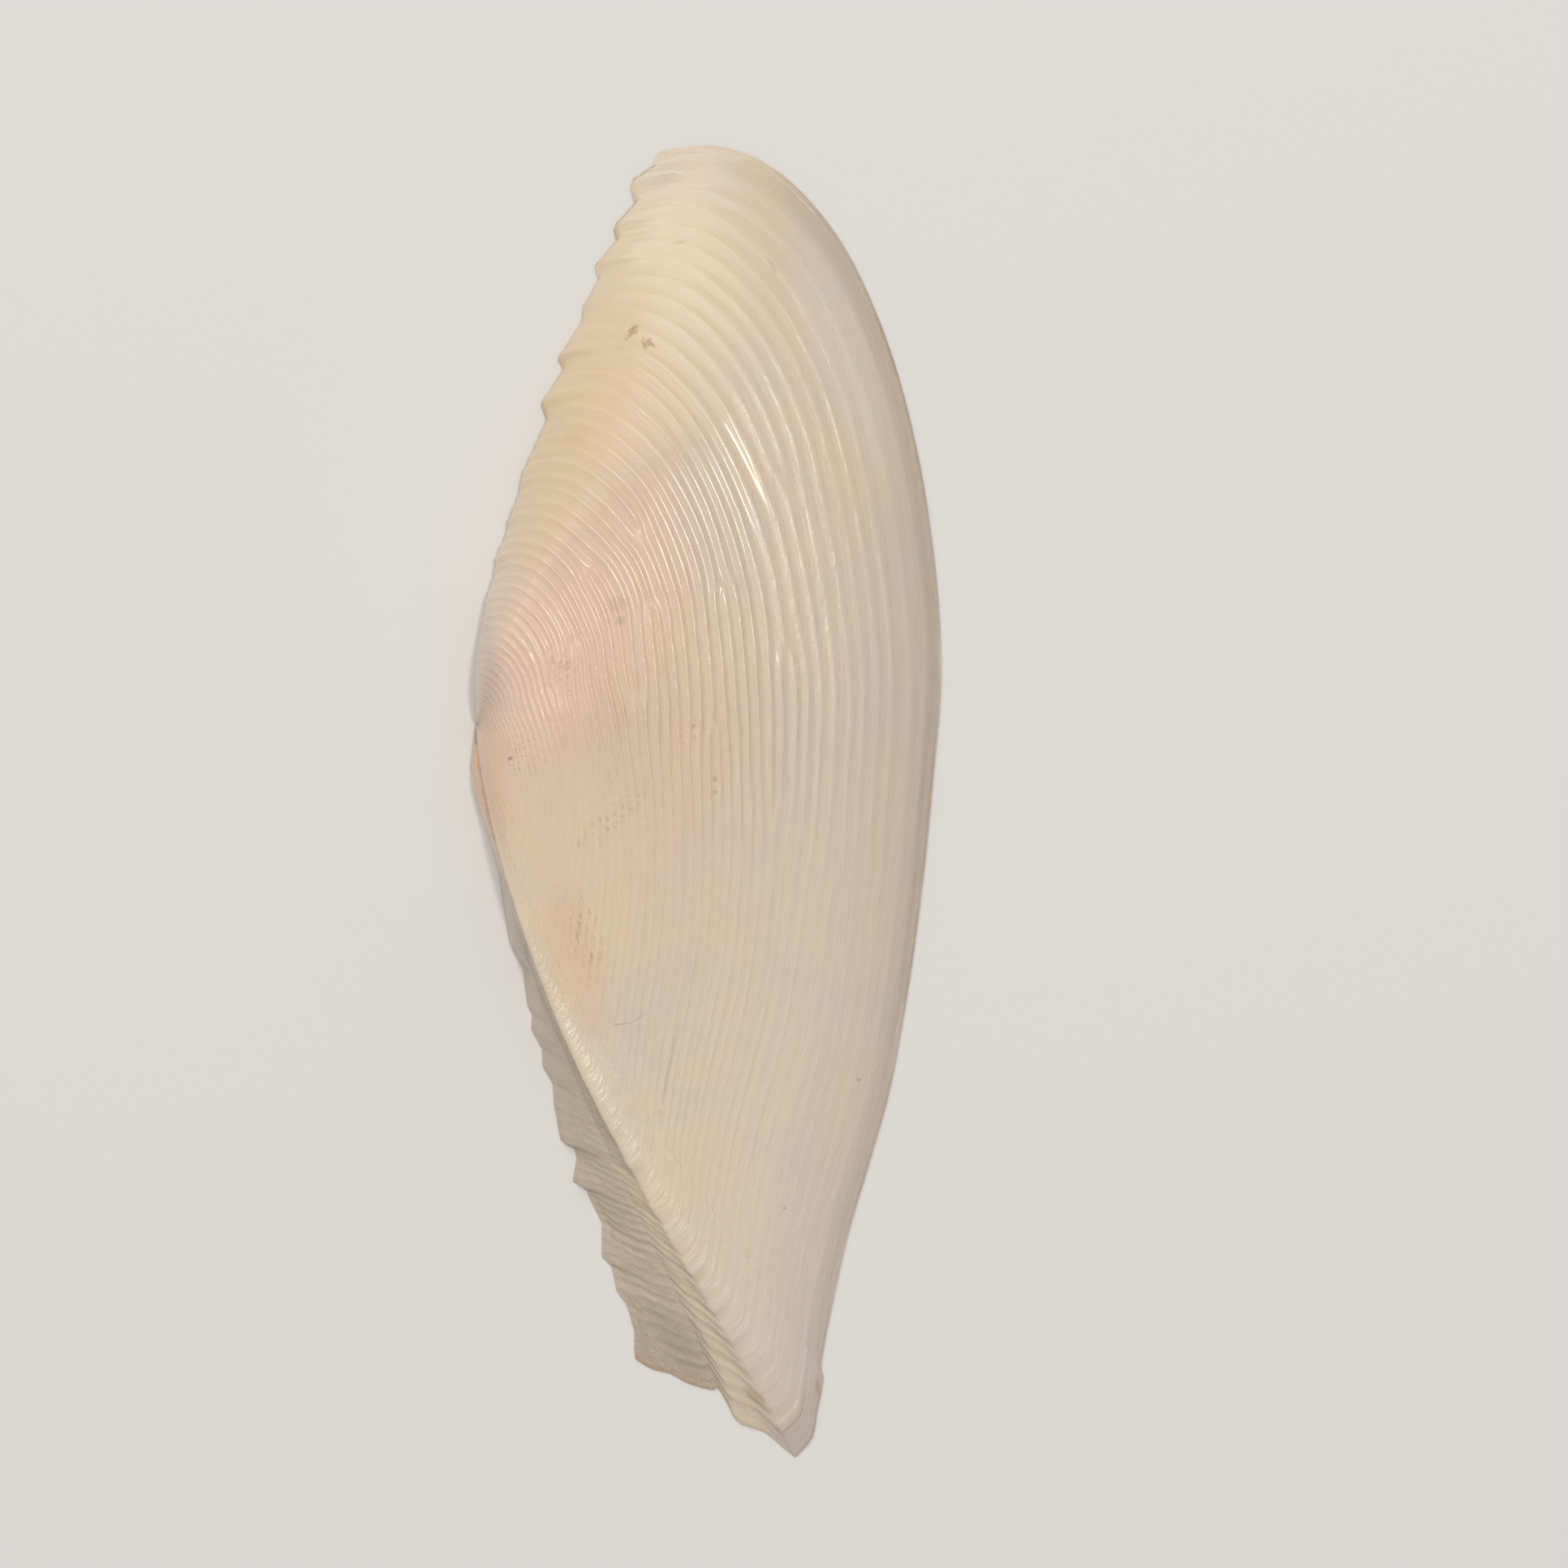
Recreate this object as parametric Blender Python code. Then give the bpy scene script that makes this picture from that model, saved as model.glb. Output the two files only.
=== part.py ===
"""One right valve of a long, beaked tellin with saw-edged hinge margins, lying on its rim, outside up.

Frame: X runs from the hinge side to the belly edge, Y points to the round front end and Z out of the valve.
The origin is on the plane of the rim, under the middle of the valve.
"""

import bmesh
import bpy
import numpy as np
from mathutils import Vector
from mathutils.bvhtree import BVHTree

MM = 0.001

# Driving sizes, in millimetres.
VALVE_DEPTH = 6.4
KEEL_HEIGHT = 4.0
KEEL_RISE = 0.12
WALL_AT_EDGE = 0.5
WALL_AT_CROWN = 1.0
RIM_WIDTH = 0.62
GROWTH_RIDGES = 54
RIDGE_RISE = 0.14
TOOTH_REACH = 0.9
HINGE_PLATE_LIFT = 0.75
HINGE_PLATE_WIDTH = 1.5
HINGE_HALF_LENGTH = 9.0
HINGE_TOOTH_DROP = 0.45

# The beak, where growth began, and the middle of the hollow.
BEAK = np.array([-13.28, 4.43])
HOLLOW_MIDDLE = np.array([0.9, 2.0])

# The free edge from the front corner, round the front end and down the belly edge to the tip of the rostrum.
BELLY_EDGE = [
    (-3.07, 36.57), (-2.51, 37.22), (0.19, 37.50), (2.80, 36.80), (5.35, 34.90), (7.90, 31.60),
    (9.95, 27.20), (11.40, 22.60), (12.50, 17.30), (13.20, 11.50), (13.33, 6.40), (12.90, 1.30),
    (12.40, -3.80), (11.60, -9.90), (10.50, -16.10), (9.35, -20.30), (8.10, -24.50), (7.20, -28.40),
    (6.52, -32.00), (6.62, -33.00), (6.27, -34.90), (5.97, -36.40), (5.02, -37.50),
]
# The short lower edges: from the tip to the notch of the furrow, and from that notch to the back corner.
TIP_EDGE = [(5.02, -37.50), (4.27, -36.90), (3.25, -36.06), (1.76, -35.50), (1.11, -34.39), (0.56, -33.46)]
SLOPE_EDGE = [
    (0.56, -33.46), (0.23, -33.64), (-1.11, -33.27), (-2.14, -32.72), (-3.20, -32.44), (-4.13, -31.88),
]

# The two hinge margins from the beak outwards, with the saw teeth that the older edges left on them.
FRONT_MARGIN = [
    (-13.28, 4.43), (-13.36, 6.85), (-13.14, 8.71), (-12.68, 11.40), (-12.21, 12.79), (-12.12, 13.72),
    (-11.52, 15.21), (-11.42, 15.91), (-10.82, 17.44), (-10.68, 18.46), (-9.20, 21.76), (-9.52, 22.59),
    (-8.22, 24.68), (-8.59, 25.24), (-7.24, 27.28), (-7.15, 28.17), (-6.22, 29.84), (-6.46, 30.53),
    (-5.20, 31.93), (-5.39, 32.76), (-4.13, 34.02), (-4.46, 35.27), (-3.11, 35.97), (-3.07, 36.57),
]
BACK_MARGIN = [
    (-13.28, 4.43), (-13.40, 2.21), (-13.28, 0.81), (-12.91, -0.58), (-12.40, -2.44), (-11.93, -4.30),
    (-11.66, -6.15), (-11.33, -8.01), (-10.59, -9.50), (-10.31, -11.63), (-10.03, -12.19), (-10.08, -13.03),
    (-9.47, -14.14), (-9.43, -15.16), (-8.87, -16.09), (-8.78, -17.30), (-8.41, -19.34), (-7.66, -19.71),
    (-7.48, -20.41), (-7.71, -21.71), (-7.01, -22.04), (-6.59, -23.01), (-6.04, -24.08), (-6.04, -26.03),
    (-5.48, -26.59), (-5.20, -27.98), (-4.60, -28.82), (-4.18, -30.30), (-4.18, -31.46), (-4.13, -31.88),
]
# How far the margins, the keel and the furrow bow out from straight lines drawn from the beak to their
# ends, and the power that sets where along its growth a bow is widest.
FRONT_BOW = 5.05
KEEL_BOW = 12.9
FURROW_BOW = 9.4
BACK_BOW = 6.2
BOW_FALL = 1.6
# The keel grew faster than the disc when young, so its share of the way is a power of the disc's share,
# and the furrow's and the back margin's shares are powers of the keel's.
YOUNG_KEEL_PACE = 0.56
OLD_KEEL_PACE = 0.76
FURROW_PACE = 0.84
BACK_PACE = 0.83
# How soon the shape of the last edge fades from the lines before it, as a power of their growth.
ECHO_FADE = 8
# Heights: the valve is deepest at this share of growth, and falls from there by these powers to its edge.
CROWN = 0.2
DOME_POWER = 0.62
DISC_FALL = 2.5
KEEL_FALL = 1.8
# The front flank: how far over the disc it reaches, near the beak and at the edge.
YOUNG_FLANK = 0.12
OLD_FLANK = 0.2
FLANK_POWER = 0.8
# The keel is a little lower near the beak. The furrow lies lower than the keel by these parts, near the beak,
# on the way and at the edge, and the slope falls evenly near the beak.
YOUNG_KEEL_LOSS = 0.1
YOUNG_DROP = 0.14
MIDDLE_DROP = 0.38
OLD_DROP = 0.26
YOUNG_SLOPE_POWER = 0.9
# Growth ridges stand closer near the beak: ridge number n is at the share
# (n / GROWTH_RIDGES) ** (1 / SPACING). Each rises over this part of the way to the next, its groove lies
# this part of its height below the skin, and it is this strong at each station and share of growth.
SPACING = 0.53
CREST_PLACE = 0.6
BELOW_SKIN = 0.4
STRENGTH_ACROSS = [
    (0, 0.35), (0.16, 1), (0.46, 1), (0.66, 0.26), (0.9, 0.26), (1, 0.05), (1.15, 0.28), (3, 0.28),
]
STRENGTH_ALONG = [(0, 0), (0.04, 0.05), (0.1, 0.35), (0.3, 1), (0.5, 1), (0.85, 0.4), (1, 0.4)]

# Stations across the valve: on the disc from the front margin to the keel, then on the slope's two bands.
DISC_STATIONS = [
    0.0, 0.008, 0.022, 0.041, 0.065, 0.092, 0.125, 0.16, 0.2, 0.25, 0.3, 0.355,
    0.41, 0.47, 0.53, 0.59, 0.65, 0.71, 0.77, 0.83, 0.89, 0.94, 0.98, 1.0,
]
KEEL_BAND_STATIONS = [0.3, 0.75, 1.0]
SLOPE_BAND_STATIONS = [0.2, 0.55, 0.85, 1.0]
# The first lines of growth are too fine to be ridged; ridges start at the number after them.
SMOOTH_LINES = [1, 2, 3.5, 5]
FIRST_RIDGE = 7

# The inner face: its first ring stands this far inside the rim, the hinge plate or a narrow step follows,
# then a steeper step, and the other rings are at these shares of the way to the middle of the hollow. The
# heights round a ring and the line of the rim are evened this many times.
INNER_LIP = 0.14
NARROW_STEP = 0.4
INNER_STEP = 0.5
INNER_SHARES = [0.16, 0.34, 0.56, 0.8]
EVENINGS = 4
RIM_EVENINGS = 2
# The two teeth of the hinge, by their places along it from the beak, and the half width of each.
HINGE_TEETH = [0.75, -0.65]
HINGE_TOOTH_HALF_WIDTH = 0.3

SHELL_COLOUR = (0.69, 0.58, 0.46, 1.0)
SHELL_ROUGHNESS = 0.36
CURVE_STEPS = 16
HALVINGS = 14


def ease(start, end, x):
    """Smooth step from 0 at start to 1 at end."""
    s = np.clip((x - start) / (end - start), 0, 1)
    return s * s * (3 - 2 * s)


def along(points, shares):
    """Points at the given shares of the length of a smooth curve through the outline's points."""
    p = np.array(points)
    p = np.vstack([2 * p[0] - p[1], p, 2 * p[-1] - p[-2]])
    curve = []
    for a, b, c, d in zip(p, p[1:], p[2:], p[3:]):
        for s in np.linspace(0, 1, CURVE_STEPS, endpoint=False):
            curve.append(b + 0.5 * s * (c - a + s * (2 * a - 5 * b + 4 * c - d + s * (3 * (b - c) + d - a))))
    curve = np.array(curve + [p[-2]])
    length = np.append(0, np.cumsum(np.hypot(*np.diff(curve, axis=0).T)))
    at = np.array(shares) * length[-1]
    return np.stack([np.interp(at, length, curve[:, 0]), np.interp(at, length, curve[:, 1])], -1)


def grown_margin(points, share):
    """Point of a hinge margin whose distance from the beak is the given share of that of its end."""
    p = np.array(points)
    reach = np.hypot(*(p - BEAK).T)
    at = share * reach[-1]
    return np.stack([np.interp(at, reach, p[:, 0]), np.interp(at, reach, p[:, 1])], -1)


def bowed(end, share, bow):
    """Path from the beak to an end on the lower edge, bowed towards the hinge side."""
    way = np.array(end) - BEAK
    side = np.array([way[1], -way[0]]) / np.hypot(*way)
    return BEAK + share[:, None] * way + (bow * share * (1 - share) ** BOW_FALL)[:, None] * side


def rise(share, fall):
    """Height along growth as a share of the crown's: a steep dome at the beak, then a fall to the edge."""
    dome = np.sin(np.pi / 2 * np.minimum(share / CROWN, 1) ** DOME_POWER)
    return np.where(share < CROWN, dome, 1 - np.clip((share - CROWN) / (1 - CROWN), 0, 1) ** fall)


def keel_pace(share):
    """The power that turns the disc's share of growth into the keel's."""
    return YOUNG_KEEL_PACE + (OLD_KEEL_PACE - YOUNG_KEEL_PACE) * ease(0.3, 0.9, share)


def pulled(lines, margin):
    """Growth lines whose ends are pulled onto a margin, less and less away from it."""
    shift = margin[:, None] - lines
    away = np.hypot(*(lines - lines[:, :1]).transpose(2, 0, 1))
    return lines + np.exp(-(away / TOOTH_REACH) ** 2)[..., None] * shift[:, :1]


def smooth_skin(share, teeth=1.0):
    """Outer face without its growth ridges: one row for each share of growth, one column for each station."""
    w = share[:, None]
    t = np.array(DISC_STATIONS)
    pace = keel_pace(share)
    keel_share = share ** pace
    at_keel = keel_share[:, None]
    grown = w ** (1 - (1 - pace[:, None]) * ease(0.35, 1, t))
    way = along(BELLY_EDGE, t) - BEAK
    ray = way / np.hypot(*way.T)[:, None]
    across = np.stack([ray[:, 1], -ray[:, 0]], -1)
    bow = KEEL_BOW * grown * (1 - grown) ** BOW_FALL * ease(0.45, 1, t)
    bow = bow - FRONT_BOW * w ** 0.66 * (1 - w) * (1 - ease(0, 0.3, t))
    disc = BEAK + grown[..., None] * way + bow[..., None] * across
    disc = pulled(disc, disc[:, 0] + teeth * (grown_margin(FRONT_MARGIN, share) - disc[:, 0]))
    flank = YOUNG_FLANK + (OLD_FLANK - YOUNG_FLANK) * ease(0.2, 0.8, w)
    flank = np.sin(np.pi / 2 * np.minimum(t / flank, 1)) ** FLANK_POWER
    young = 1 - ease(0.05, 0.3, at_keel)
    keel_height = KEEL_HEIGHT * rise(at_keel, KEEL_FALL) * (1 - YOUNG_KEEL_LOSS * young)
    rounded = 1 - (1 - np.clip((t - 0.42) / 0.58, 0, 1) ** 2) ** 0.75
    height = VALVE_DEPTH * rise(grown, DISC_FALL) * flank
    height = height + (keel_height - height) * (young * rounded + (1 - young) * ease(0.42, 1, t))

    furrow = bowed(TIP_EDGE[-1], keel_share ** FURROW_PACE, FURROW_BOW)
    back = bowed(SLOPE_EDGE[-1], keel_share ** BACK_PACE, BACK_BOW)
    drop = MIDDLE_DROP - (MIDDLE_DROP - YOUNG_DROP) * young
    drop = drop - (MIDDLE_DROP - OLD_DROP) * ease(0.4, 0.65, at_keel)
    s = np.array(KEEL_BAND_STATIONS)
    keel_band = band(disc[:, -1], furrow, TIP_EDGE, s, at_keel)
    keel_band_height = keel_height * (1 - drop * s)
    s = np.array(SLOPE_BAND_STATIONS)
    slope_band = band(furrow, back, SLOPE_EDGE, s, at_keel)
    saw = grown_margin(BACK_MARGIN, keel_share ** BACK_PACE) - slope_band[:, -1]
    slope_band = pulled(slope_band[:, ::-1], slope_band[:, -1] + teeth * saw)[:, ::-1]
    slope = 0.6 * np.cos(np.pi / 2 * s) ** 0.8 + 0.4 * (1 - s) ** 0.9
    slope = slope + young * ((1 - s) ** YOUNG_SLOPE_POWER - slope)
    slope_band_height = (1 - drop) * keel_height * slope

    plan = np.concatenate([disc, keel_band, slope_band], 1)
    lift = np.concatenate([height, keel_band_height, slope_band_height], 1)
    lift[-1] = 0
    lift[:, 0] = lift[:, -1] = 0
    return np.concatenate([plan, lift[..., None]], 2)


def band(start, end, edge, stations, w):
    """A band of the slope between two grown paths. Only its last lines take the shape of the valve's edge."""
    straight = np.array(edge[0]) + stations[:, None] * (np.array(edge[-1]) - edge[0])
    echo = along(edge, stations) - straight
    return start[:, None] + stations[:, None] * (end - start)[:, None] + w[..., None] ** ECHO_FADE * echo


def outward(skin):
    """Unit normals of the outer face."""
    normal = np.cross(np.gradient(skin, axis=1), np.gradient(skin, axis=0))
    normal *= np.where(normal[..., 2:] < 0, -1, 1)
    return normal / np.maximum(np.linalg.norm(normal, axis=2, keepdims=True), 1e-9)


def relief(share, crest):
    """Height of the growth ridges and the keel over the smooth outer face."""
    stations = [*DISC_STATIONS, *(1 + np.array(KEEL_BAND_STATIONS)), *(2 + np.array(SLOPE_BAND_STATIONS))]
    across = np.interp(stations, *zip(*STRENGTH_ACROSS))
    along_growth = np.interp(share, *zip(*STRENGTH_ALONG))
    lift = RIDGE_RISE * ((crest - BELOW_SKIN) * along_growth)[:, None] * across
    keel = KEEL_RISE * ease(0.2, 0.45, share ** keel_pace(share)) * (1 - ease(0.95, 1, share))
    lift[:, len(DISC_STATIONS) - 1] += keel
    lift[:, 0] = lift[:, -1] = lift[-1] = 0
    return lift


def wall(height):
    return WALL_AT_EDGE + (WALL_AT_CROWN - WALL_AT_EDGE) * height / VALVE_DEPTH


def hollow_height(tree, x, y):
    """Height of the inner face at a place in plan: as high as leaves the wall's thickness above it."""
    hit = tree.ray_cast(Vector((x, y, 2 * VALVE_DEPTH)), Vector((0, 0, -1)))[0]
    if hit is None:
        return 0.0
    low, high = 0.0, hit.z
    for _ in range(HALVINGS):
        middle = (low + high) / 2
        if tree.find_nearest(Vector((x, y, middle)))[3] >= wall(hit.z):
            low = middle
        else:
            high = middle
    return low


def hinge_share(y):
    """How much of the hinge plate there is at a place along the hinge: 1 at the beak, 0 at its ends."""
    return np.clip(1 - ((y - BEAK[1]) / HINGE_HALF_LENGTH) ** 2, 0, 1)


def plate_height(y):
    """Height of the hinge plate's face along the hinge, where its teeth stand down."""
    teeth = sum(np.exp(-((y - BEAK[1] - place) / HINGE_TOOTH_HALF_WIDTH) ** 2) for place in HINGE_TEETH)
    return HINGE_PLATE_LIFT / np.maximum(hinge_share(y), 0.05) - HINGE_TOOTH_DROP * np.minimum(teeth, 1)


def evened(values, times):
    """Values round a ring, with short kinks smoothed away."""
    for _ in range(times):
        values = 0.5 * values + 0.25 * (np.roll(values, 1, 0) + np.roll(values, -1, 0))
    return values


def around(grid):
    """The border of a grid in order: up its front margin, along its last row and back to the beak."""
    rows, columns = len(grid), len(grid[0])
    ring = [grid[r][0] for r in range(rows)]
    ring += [grid[rows - 1][c] for c in range(1, columns)]
    return ring + [grid[r][columns - 1] for r in range(rows - 2, 0, -1)]


def rim_line(share):
    """The inner edge of the flat rim: the outline without its teeth, drawn in by the rim's width."""
    even = np.array(around(smooth_skin(share, teeth=0.0)))[:, :2]
    tangent = np.roll(even, -1, 0) - np.roll(even, 1, 0)
    tangent /= np.hypot(*tangent.T)[:, None]
    inward = np.stack([tangent[:, 1], -tangent[:, 0]], -1)
    inward *= np.sign(np.sum(inward * (HOLLOW_MIDDLE - even), 1))[:, None]
    return evened(even + RIM_WIDTH * inward, RIM_EVENINGS)


def build_valve():
    """The valve as one closed body: outer face, flat rim, then the inner face ring by ring to its middle."""
    grooves = np.arange(FIRST_RIDGE, GROWTH_RIDGES)
    number = [0, *SMOOTH_LINES, *np.stack([grooves, grooves + CREST_PLACE], 1).ravel(), GROWTH_RIDGES]
    crest = [BELOW_SKIN] * (1 + len(SMOOTH_LINES)) + [0, 1] * len(grooves) + [0]
    share = (np.array(number) / GROWTH_RIDGES) ** (1 / SPACING)
    bare = smooth_skin(share)
    bare[0] = [*BEAK, 0]
    skin = bare + relief(share, np.array(crest))[..., None] * outward(bare)
    skin[..., 2] = np.maximum(skin[..., 2], 0)
    rows, columns = skin.shape[:2]

    bm = bmesh.new()
    bmesh.ops.create_grid(bm, x_segments=columns - 1, y_segments=rows - 1, size=1)
    bm.verts.ensure_lookup_table()
    corner = [[None] * columns for _ in range(rows)]
    for vert in bm.verts:
        column = round((vert.co.x + 1) / 2 * (columns - 1))
        row = round((vert.co.y + 1) / 2 * (rows - 1))
        corner[row][column] = vert
        vert.co = skin[row, column] * MM
    bmesh.ops.pointmerge(bm, verts=corner[0], merge_co=corner[0][0].co.copy())

    facets = [(r * columns + c, (r + 1) * columns + c, (r + 1) * columns + c + 1, r * columns + c + 1)
              for r in range(rows - 1) for c in range(columns - 1)]
    tree = BVHTree.FromPolygons([Vector(p) for p in bare.reshape(-1, 3)], facets)

    ring = around(corner)
    rim = rim_line(share)
    ring = drawn_in(bm, ring, np.append(rim, np.zeros((len(rim), 1)), 1))
    to_middle = HOLLOW_MIDDLE - rim
    reach = np.hypot(*to_middle.T)
    plate = np.maximum(HINGE_PLATE_WIDTH * hinge_share(rim[:, 1]), NARROW_STEP)
    step = INNER_LIP + plate + INNER_STEP
    insets = [np.full(len(rim), INNER_LIP), INNER_LIP + plate, step]
    insets += [step + part * (reach - step) for part in INNER_SHARES]
    for inset in insets:
        plan = rim + (inset / reach)[:, None] * to_middle
        height = evened(np.array([hollow_height(tree, x, y) for x, y in plan]), EVENINGS)
        if np.all(inset < step):
            height = np.minimum(height, plate_height(rim[:, 1]))
        ring = drawn_in(bm, ring, np.append(plan, height[:, None], 1))
    middle = Vector((*HOLLOW_MIDDLE, hollow_height(tree, *HOLLOW_MIDDLE))) * MM
    ring = drawn_in(bm, ring, np.tile(np.array(middle) / MM, (len(ring), 1)))
    bmesh.ops.pointmerge(bm, verts=ring, merge_co=middle)
    bmesh.ops.recalc_face_normals(bm, faces=bm.faces)
    places = np.array([vert.co for vert in bm.verts])
    middle = (places.min(0) + places.max(0)) / 2
    bmesh.ops.translate(bm, verts=bm.verts, vec=(-middle[0], -middle[1], 0))
    return bm


def drawn_in(bm, ring, places):
    """Extrudes a closed ring of edges and puts the new ring's corners at the given places."""
    edges = [bm.edges.get((a, b)) for a, b in zip(ring, ring[1:] + ring[:1])]
    made = bmesh.ops.extrude_edge_only(bm, edges=edges)["geom"]
    fresh = {item for item in made if isinstance(item, bmesh.types.BMVert)}
    inner = []
    for vert in ring:
        ends = [edge.other_vert(vert) for edge in vert.link_edges]
        inner.append(next(end for end in ends if end in fresh))
    for vert, place in zip(inner, places):
        vert.co = Vector(place) * MM
    return inner


def shell_material():
    material = bpy.data.materials.new("shell")
    material.use_nodes = True
    shader = material.node_tree.nodes["Principled BSDF"]
    shader.inputs["Base Color"].default_value = SHELL_COLOUR
    shader.inputs["Roughness"].default_value = SHELL_ROUGHNESS
    shader.inputs["Metallic"].default_value = 0.0
    return material


for old in list(bpy.data.objects):
    bpy.data.objects.remove(old, do_unlink=True)

mesh = bpy.data.meshes.new("right_valve")
body = build_valve()
body.to_mesh(mesh)
body.free()
mesh.materials.append(shell_material())
mesh.shade_smooth()
mesh.set_sharp_from_angle(angle=np.radians(55))
bpy.context.scene.collection.objects.link(bpy.data.objects.new("right_valve", mesh))
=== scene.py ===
"""Right valve of a long, beaked tellin with saw-edged hinge margins, lying on its rim with its outside up.

Places are in millimetres until they go into a mesh. X runs from the hinge side to the belly edge, Y points
to the round front end and Z out of the valve's outer face.
"""

import bmesh
import bpy
import numpy as np
from mathutils import Matrix, Vector, noise
from mathutils.bvhtree import BVHTree


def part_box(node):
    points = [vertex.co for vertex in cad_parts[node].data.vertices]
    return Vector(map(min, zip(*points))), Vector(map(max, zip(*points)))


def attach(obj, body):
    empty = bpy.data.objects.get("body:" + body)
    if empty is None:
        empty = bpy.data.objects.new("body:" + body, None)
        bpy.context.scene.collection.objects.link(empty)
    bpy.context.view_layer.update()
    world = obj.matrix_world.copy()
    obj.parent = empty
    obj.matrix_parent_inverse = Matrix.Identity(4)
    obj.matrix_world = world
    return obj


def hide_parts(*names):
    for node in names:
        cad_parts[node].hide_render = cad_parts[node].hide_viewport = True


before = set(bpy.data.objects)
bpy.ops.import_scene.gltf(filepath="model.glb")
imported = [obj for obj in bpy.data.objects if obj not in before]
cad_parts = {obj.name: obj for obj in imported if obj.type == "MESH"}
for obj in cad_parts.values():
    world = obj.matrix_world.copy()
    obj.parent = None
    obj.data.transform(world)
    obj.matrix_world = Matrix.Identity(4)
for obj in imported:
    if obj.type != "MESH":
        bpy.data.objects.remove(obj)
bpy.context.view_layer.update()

# ---------------------------------------------------------------------------------------------------------
# The outer face. A valve is one piece of aragonite, laid down edge by edge from the beak outwards. Each
# growth line is an old edge. The face is a grid: its rows are growth lines. Its columns run from the front
# margin over the disc to the keel, and then over the two bands of the slope to the back margin.
# ---------------------------------------------------------------------------------------------------------
MM = 0.001
VALVE_DEPTH = 6.4
KEEL_HEIGHT = 4.0
BEAK = np.array([-13.28, 4.43])
# The paths of growth from the beak bow towards the hinge side. The keel's and the slope's grow faster at
# first.
FRONT_BOW = 5.05
FRONT_BOW_POWER = 0.66
FRONT_BOW_TO = 0.3
KEEL_BOW = 12.9
KEEL_BOW_FROM = 0.45
FURROW_BOW = 9.4
BACK_BOW = 6.2
BOW_FALL = 1.6
YOUNG_KEEL_PACE = 0.56
OLD_KEEL_PACE = 0.76
PACE_CHANGE = (0.3, 0.9)
KEEL_PACE_FROM = 0.35
FURROW_PACE = 0.84
BACK_PACE = 0.83
TOOTH_REACH = 0.9
LIP = 0.13
ECHO_FADE = 8
CURVE_STEPS = 16
# The section along growth: a dome up to the crown, then falls to the edge on the disc and along the keel.
CROWN = 0.2
DOME_POWER = 0.62
DISC_FALL = 2.5
KEEL_FALL = 1.8
# The section across growth: a steep flank at the front, the disc, the keel and the slope behind it.
YOUNG_FLANK = 0.12
FLANK_GROWTH = 0.08
FLANK_CHANGE = (0.2, 0.8)
FLANK_POWER = 0.8
KEEL_SIDE_FROM = 0.42
YOUNG_SIDE_POWER = 0.75
YOUNG_KEEL = (0.05, 0.3)
YOUNG_KEEL_LOSS = 0.1
YOUNG_DROP = 0.14
MIDDLE_DROP_MORE = 0.24
OLD_DROP_LESS = 0.12
OLD_DROP_CHANGE = (0.4, 0.65)
ROUND_SLOPE_PART = 0.6
ROUND_SLOPE_POWER = 0.8
EVEN_SLOPE_POWER = 0.9
BEAK_EVENINGS = 60
BEAK_EVENED = (0.14, 0.3)

# The free edge, from the front corner round the front end and down the belly edge to the tip.
BELLY_EDGE = [
    (-3.07, 36.57), (-2.51, 37.22), (0.19, 37.50), (2.80, 36.80), (5.35, 34.90), (7.90, 31.60),
    (9.95, 27.20), (11.40, 22.60), (12.50, 17.30), (13.20, 11.50), (13.33, 6.40), (12.90, 1.30),
    (12.40, -3.80), (11.60, -9.90), (10.50, -16.10), (9.35, -20.30), (8.10, -24.50), (7.20, -28.40),
    (6.52, -32.00), (6.62, -33.00), (6.27, -34.90), (5.97, -36.40), (5.02, -37.50),
]
# The short lower edges: from the tip to the furrow's notch, and from the notch to the back corner.
TIP_EDGE = [
    (5.02, -37.50), (4.27, -36.90), (3.25, -36.06), (1.76, -35.50), (1.11, -34.39), (0.56, -33.46),
]
SLOPE_EDGE = [
    (0.56, -33.46), (0.23, -33.64), (-1.11, -33.27), (-2.14, -32.72), (-3.20, -32.44), (-4.13, -31.88),
]
# The two hinge margins from the beak outwards, with the saw teeth that the older edges left on them.
FRONT_MARGIN = [
    (-13.28, 4.43), (-13.36, 6.85), (-13.14, 8.71), (-12.68, 11.40), (-12.21, 12.79), (-12.12, 13.72),
    (-11.52, 15.21), (-11.42, 15.91), (-10.82, 17.44), (-10.68, 18.46), (-9.20, 21.76), (-9.52, 22.59),
    (-8.22, 24.68), (-8.59, 25.24), (-7.24, 27.28), (-7.15, 28.17), (-6.22, 29.84), (-6.46, 30.53),
    (-5.20, 31.93), (-5.39, 32.76), (-4.13, 34.02), (-4.46, 35.27), (-3.11, 35.97), (-3.07, 36.57),
]
BACK_MARGIN = [
    (-13.28, 4.43), (-13.40, 2.21), (-13.28, 0.81), (-12.91, -0.58), (-12.40, -2.44), (-11.93, -4.30),
    (-11.66, -6.15), (-11.33, -8.01), (-10.59, -9.50), (-10.31, -11.63), (-10.03, -12.19),
    (-10.08, -13.03), (-9.47, -14.14), (-9.43, -15.16), (-8.87, -16.09), (-8.78, -17.30), (-8.41, -19.34),
    (-7.66, -19.71), (-7.48, -20.41), (-7.71, -21.71), (-7.01, -22.04), (-6.59, -23.01), (-6.04, -24.08),
    (-6.04, -26.03), (-5.48, -26.59), (-5.20, -27.98), (-4.60, -28.82), (-4.18, -30.30), (-4.18, -31.46),
    (-4.13, -31.88),
]

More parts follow.
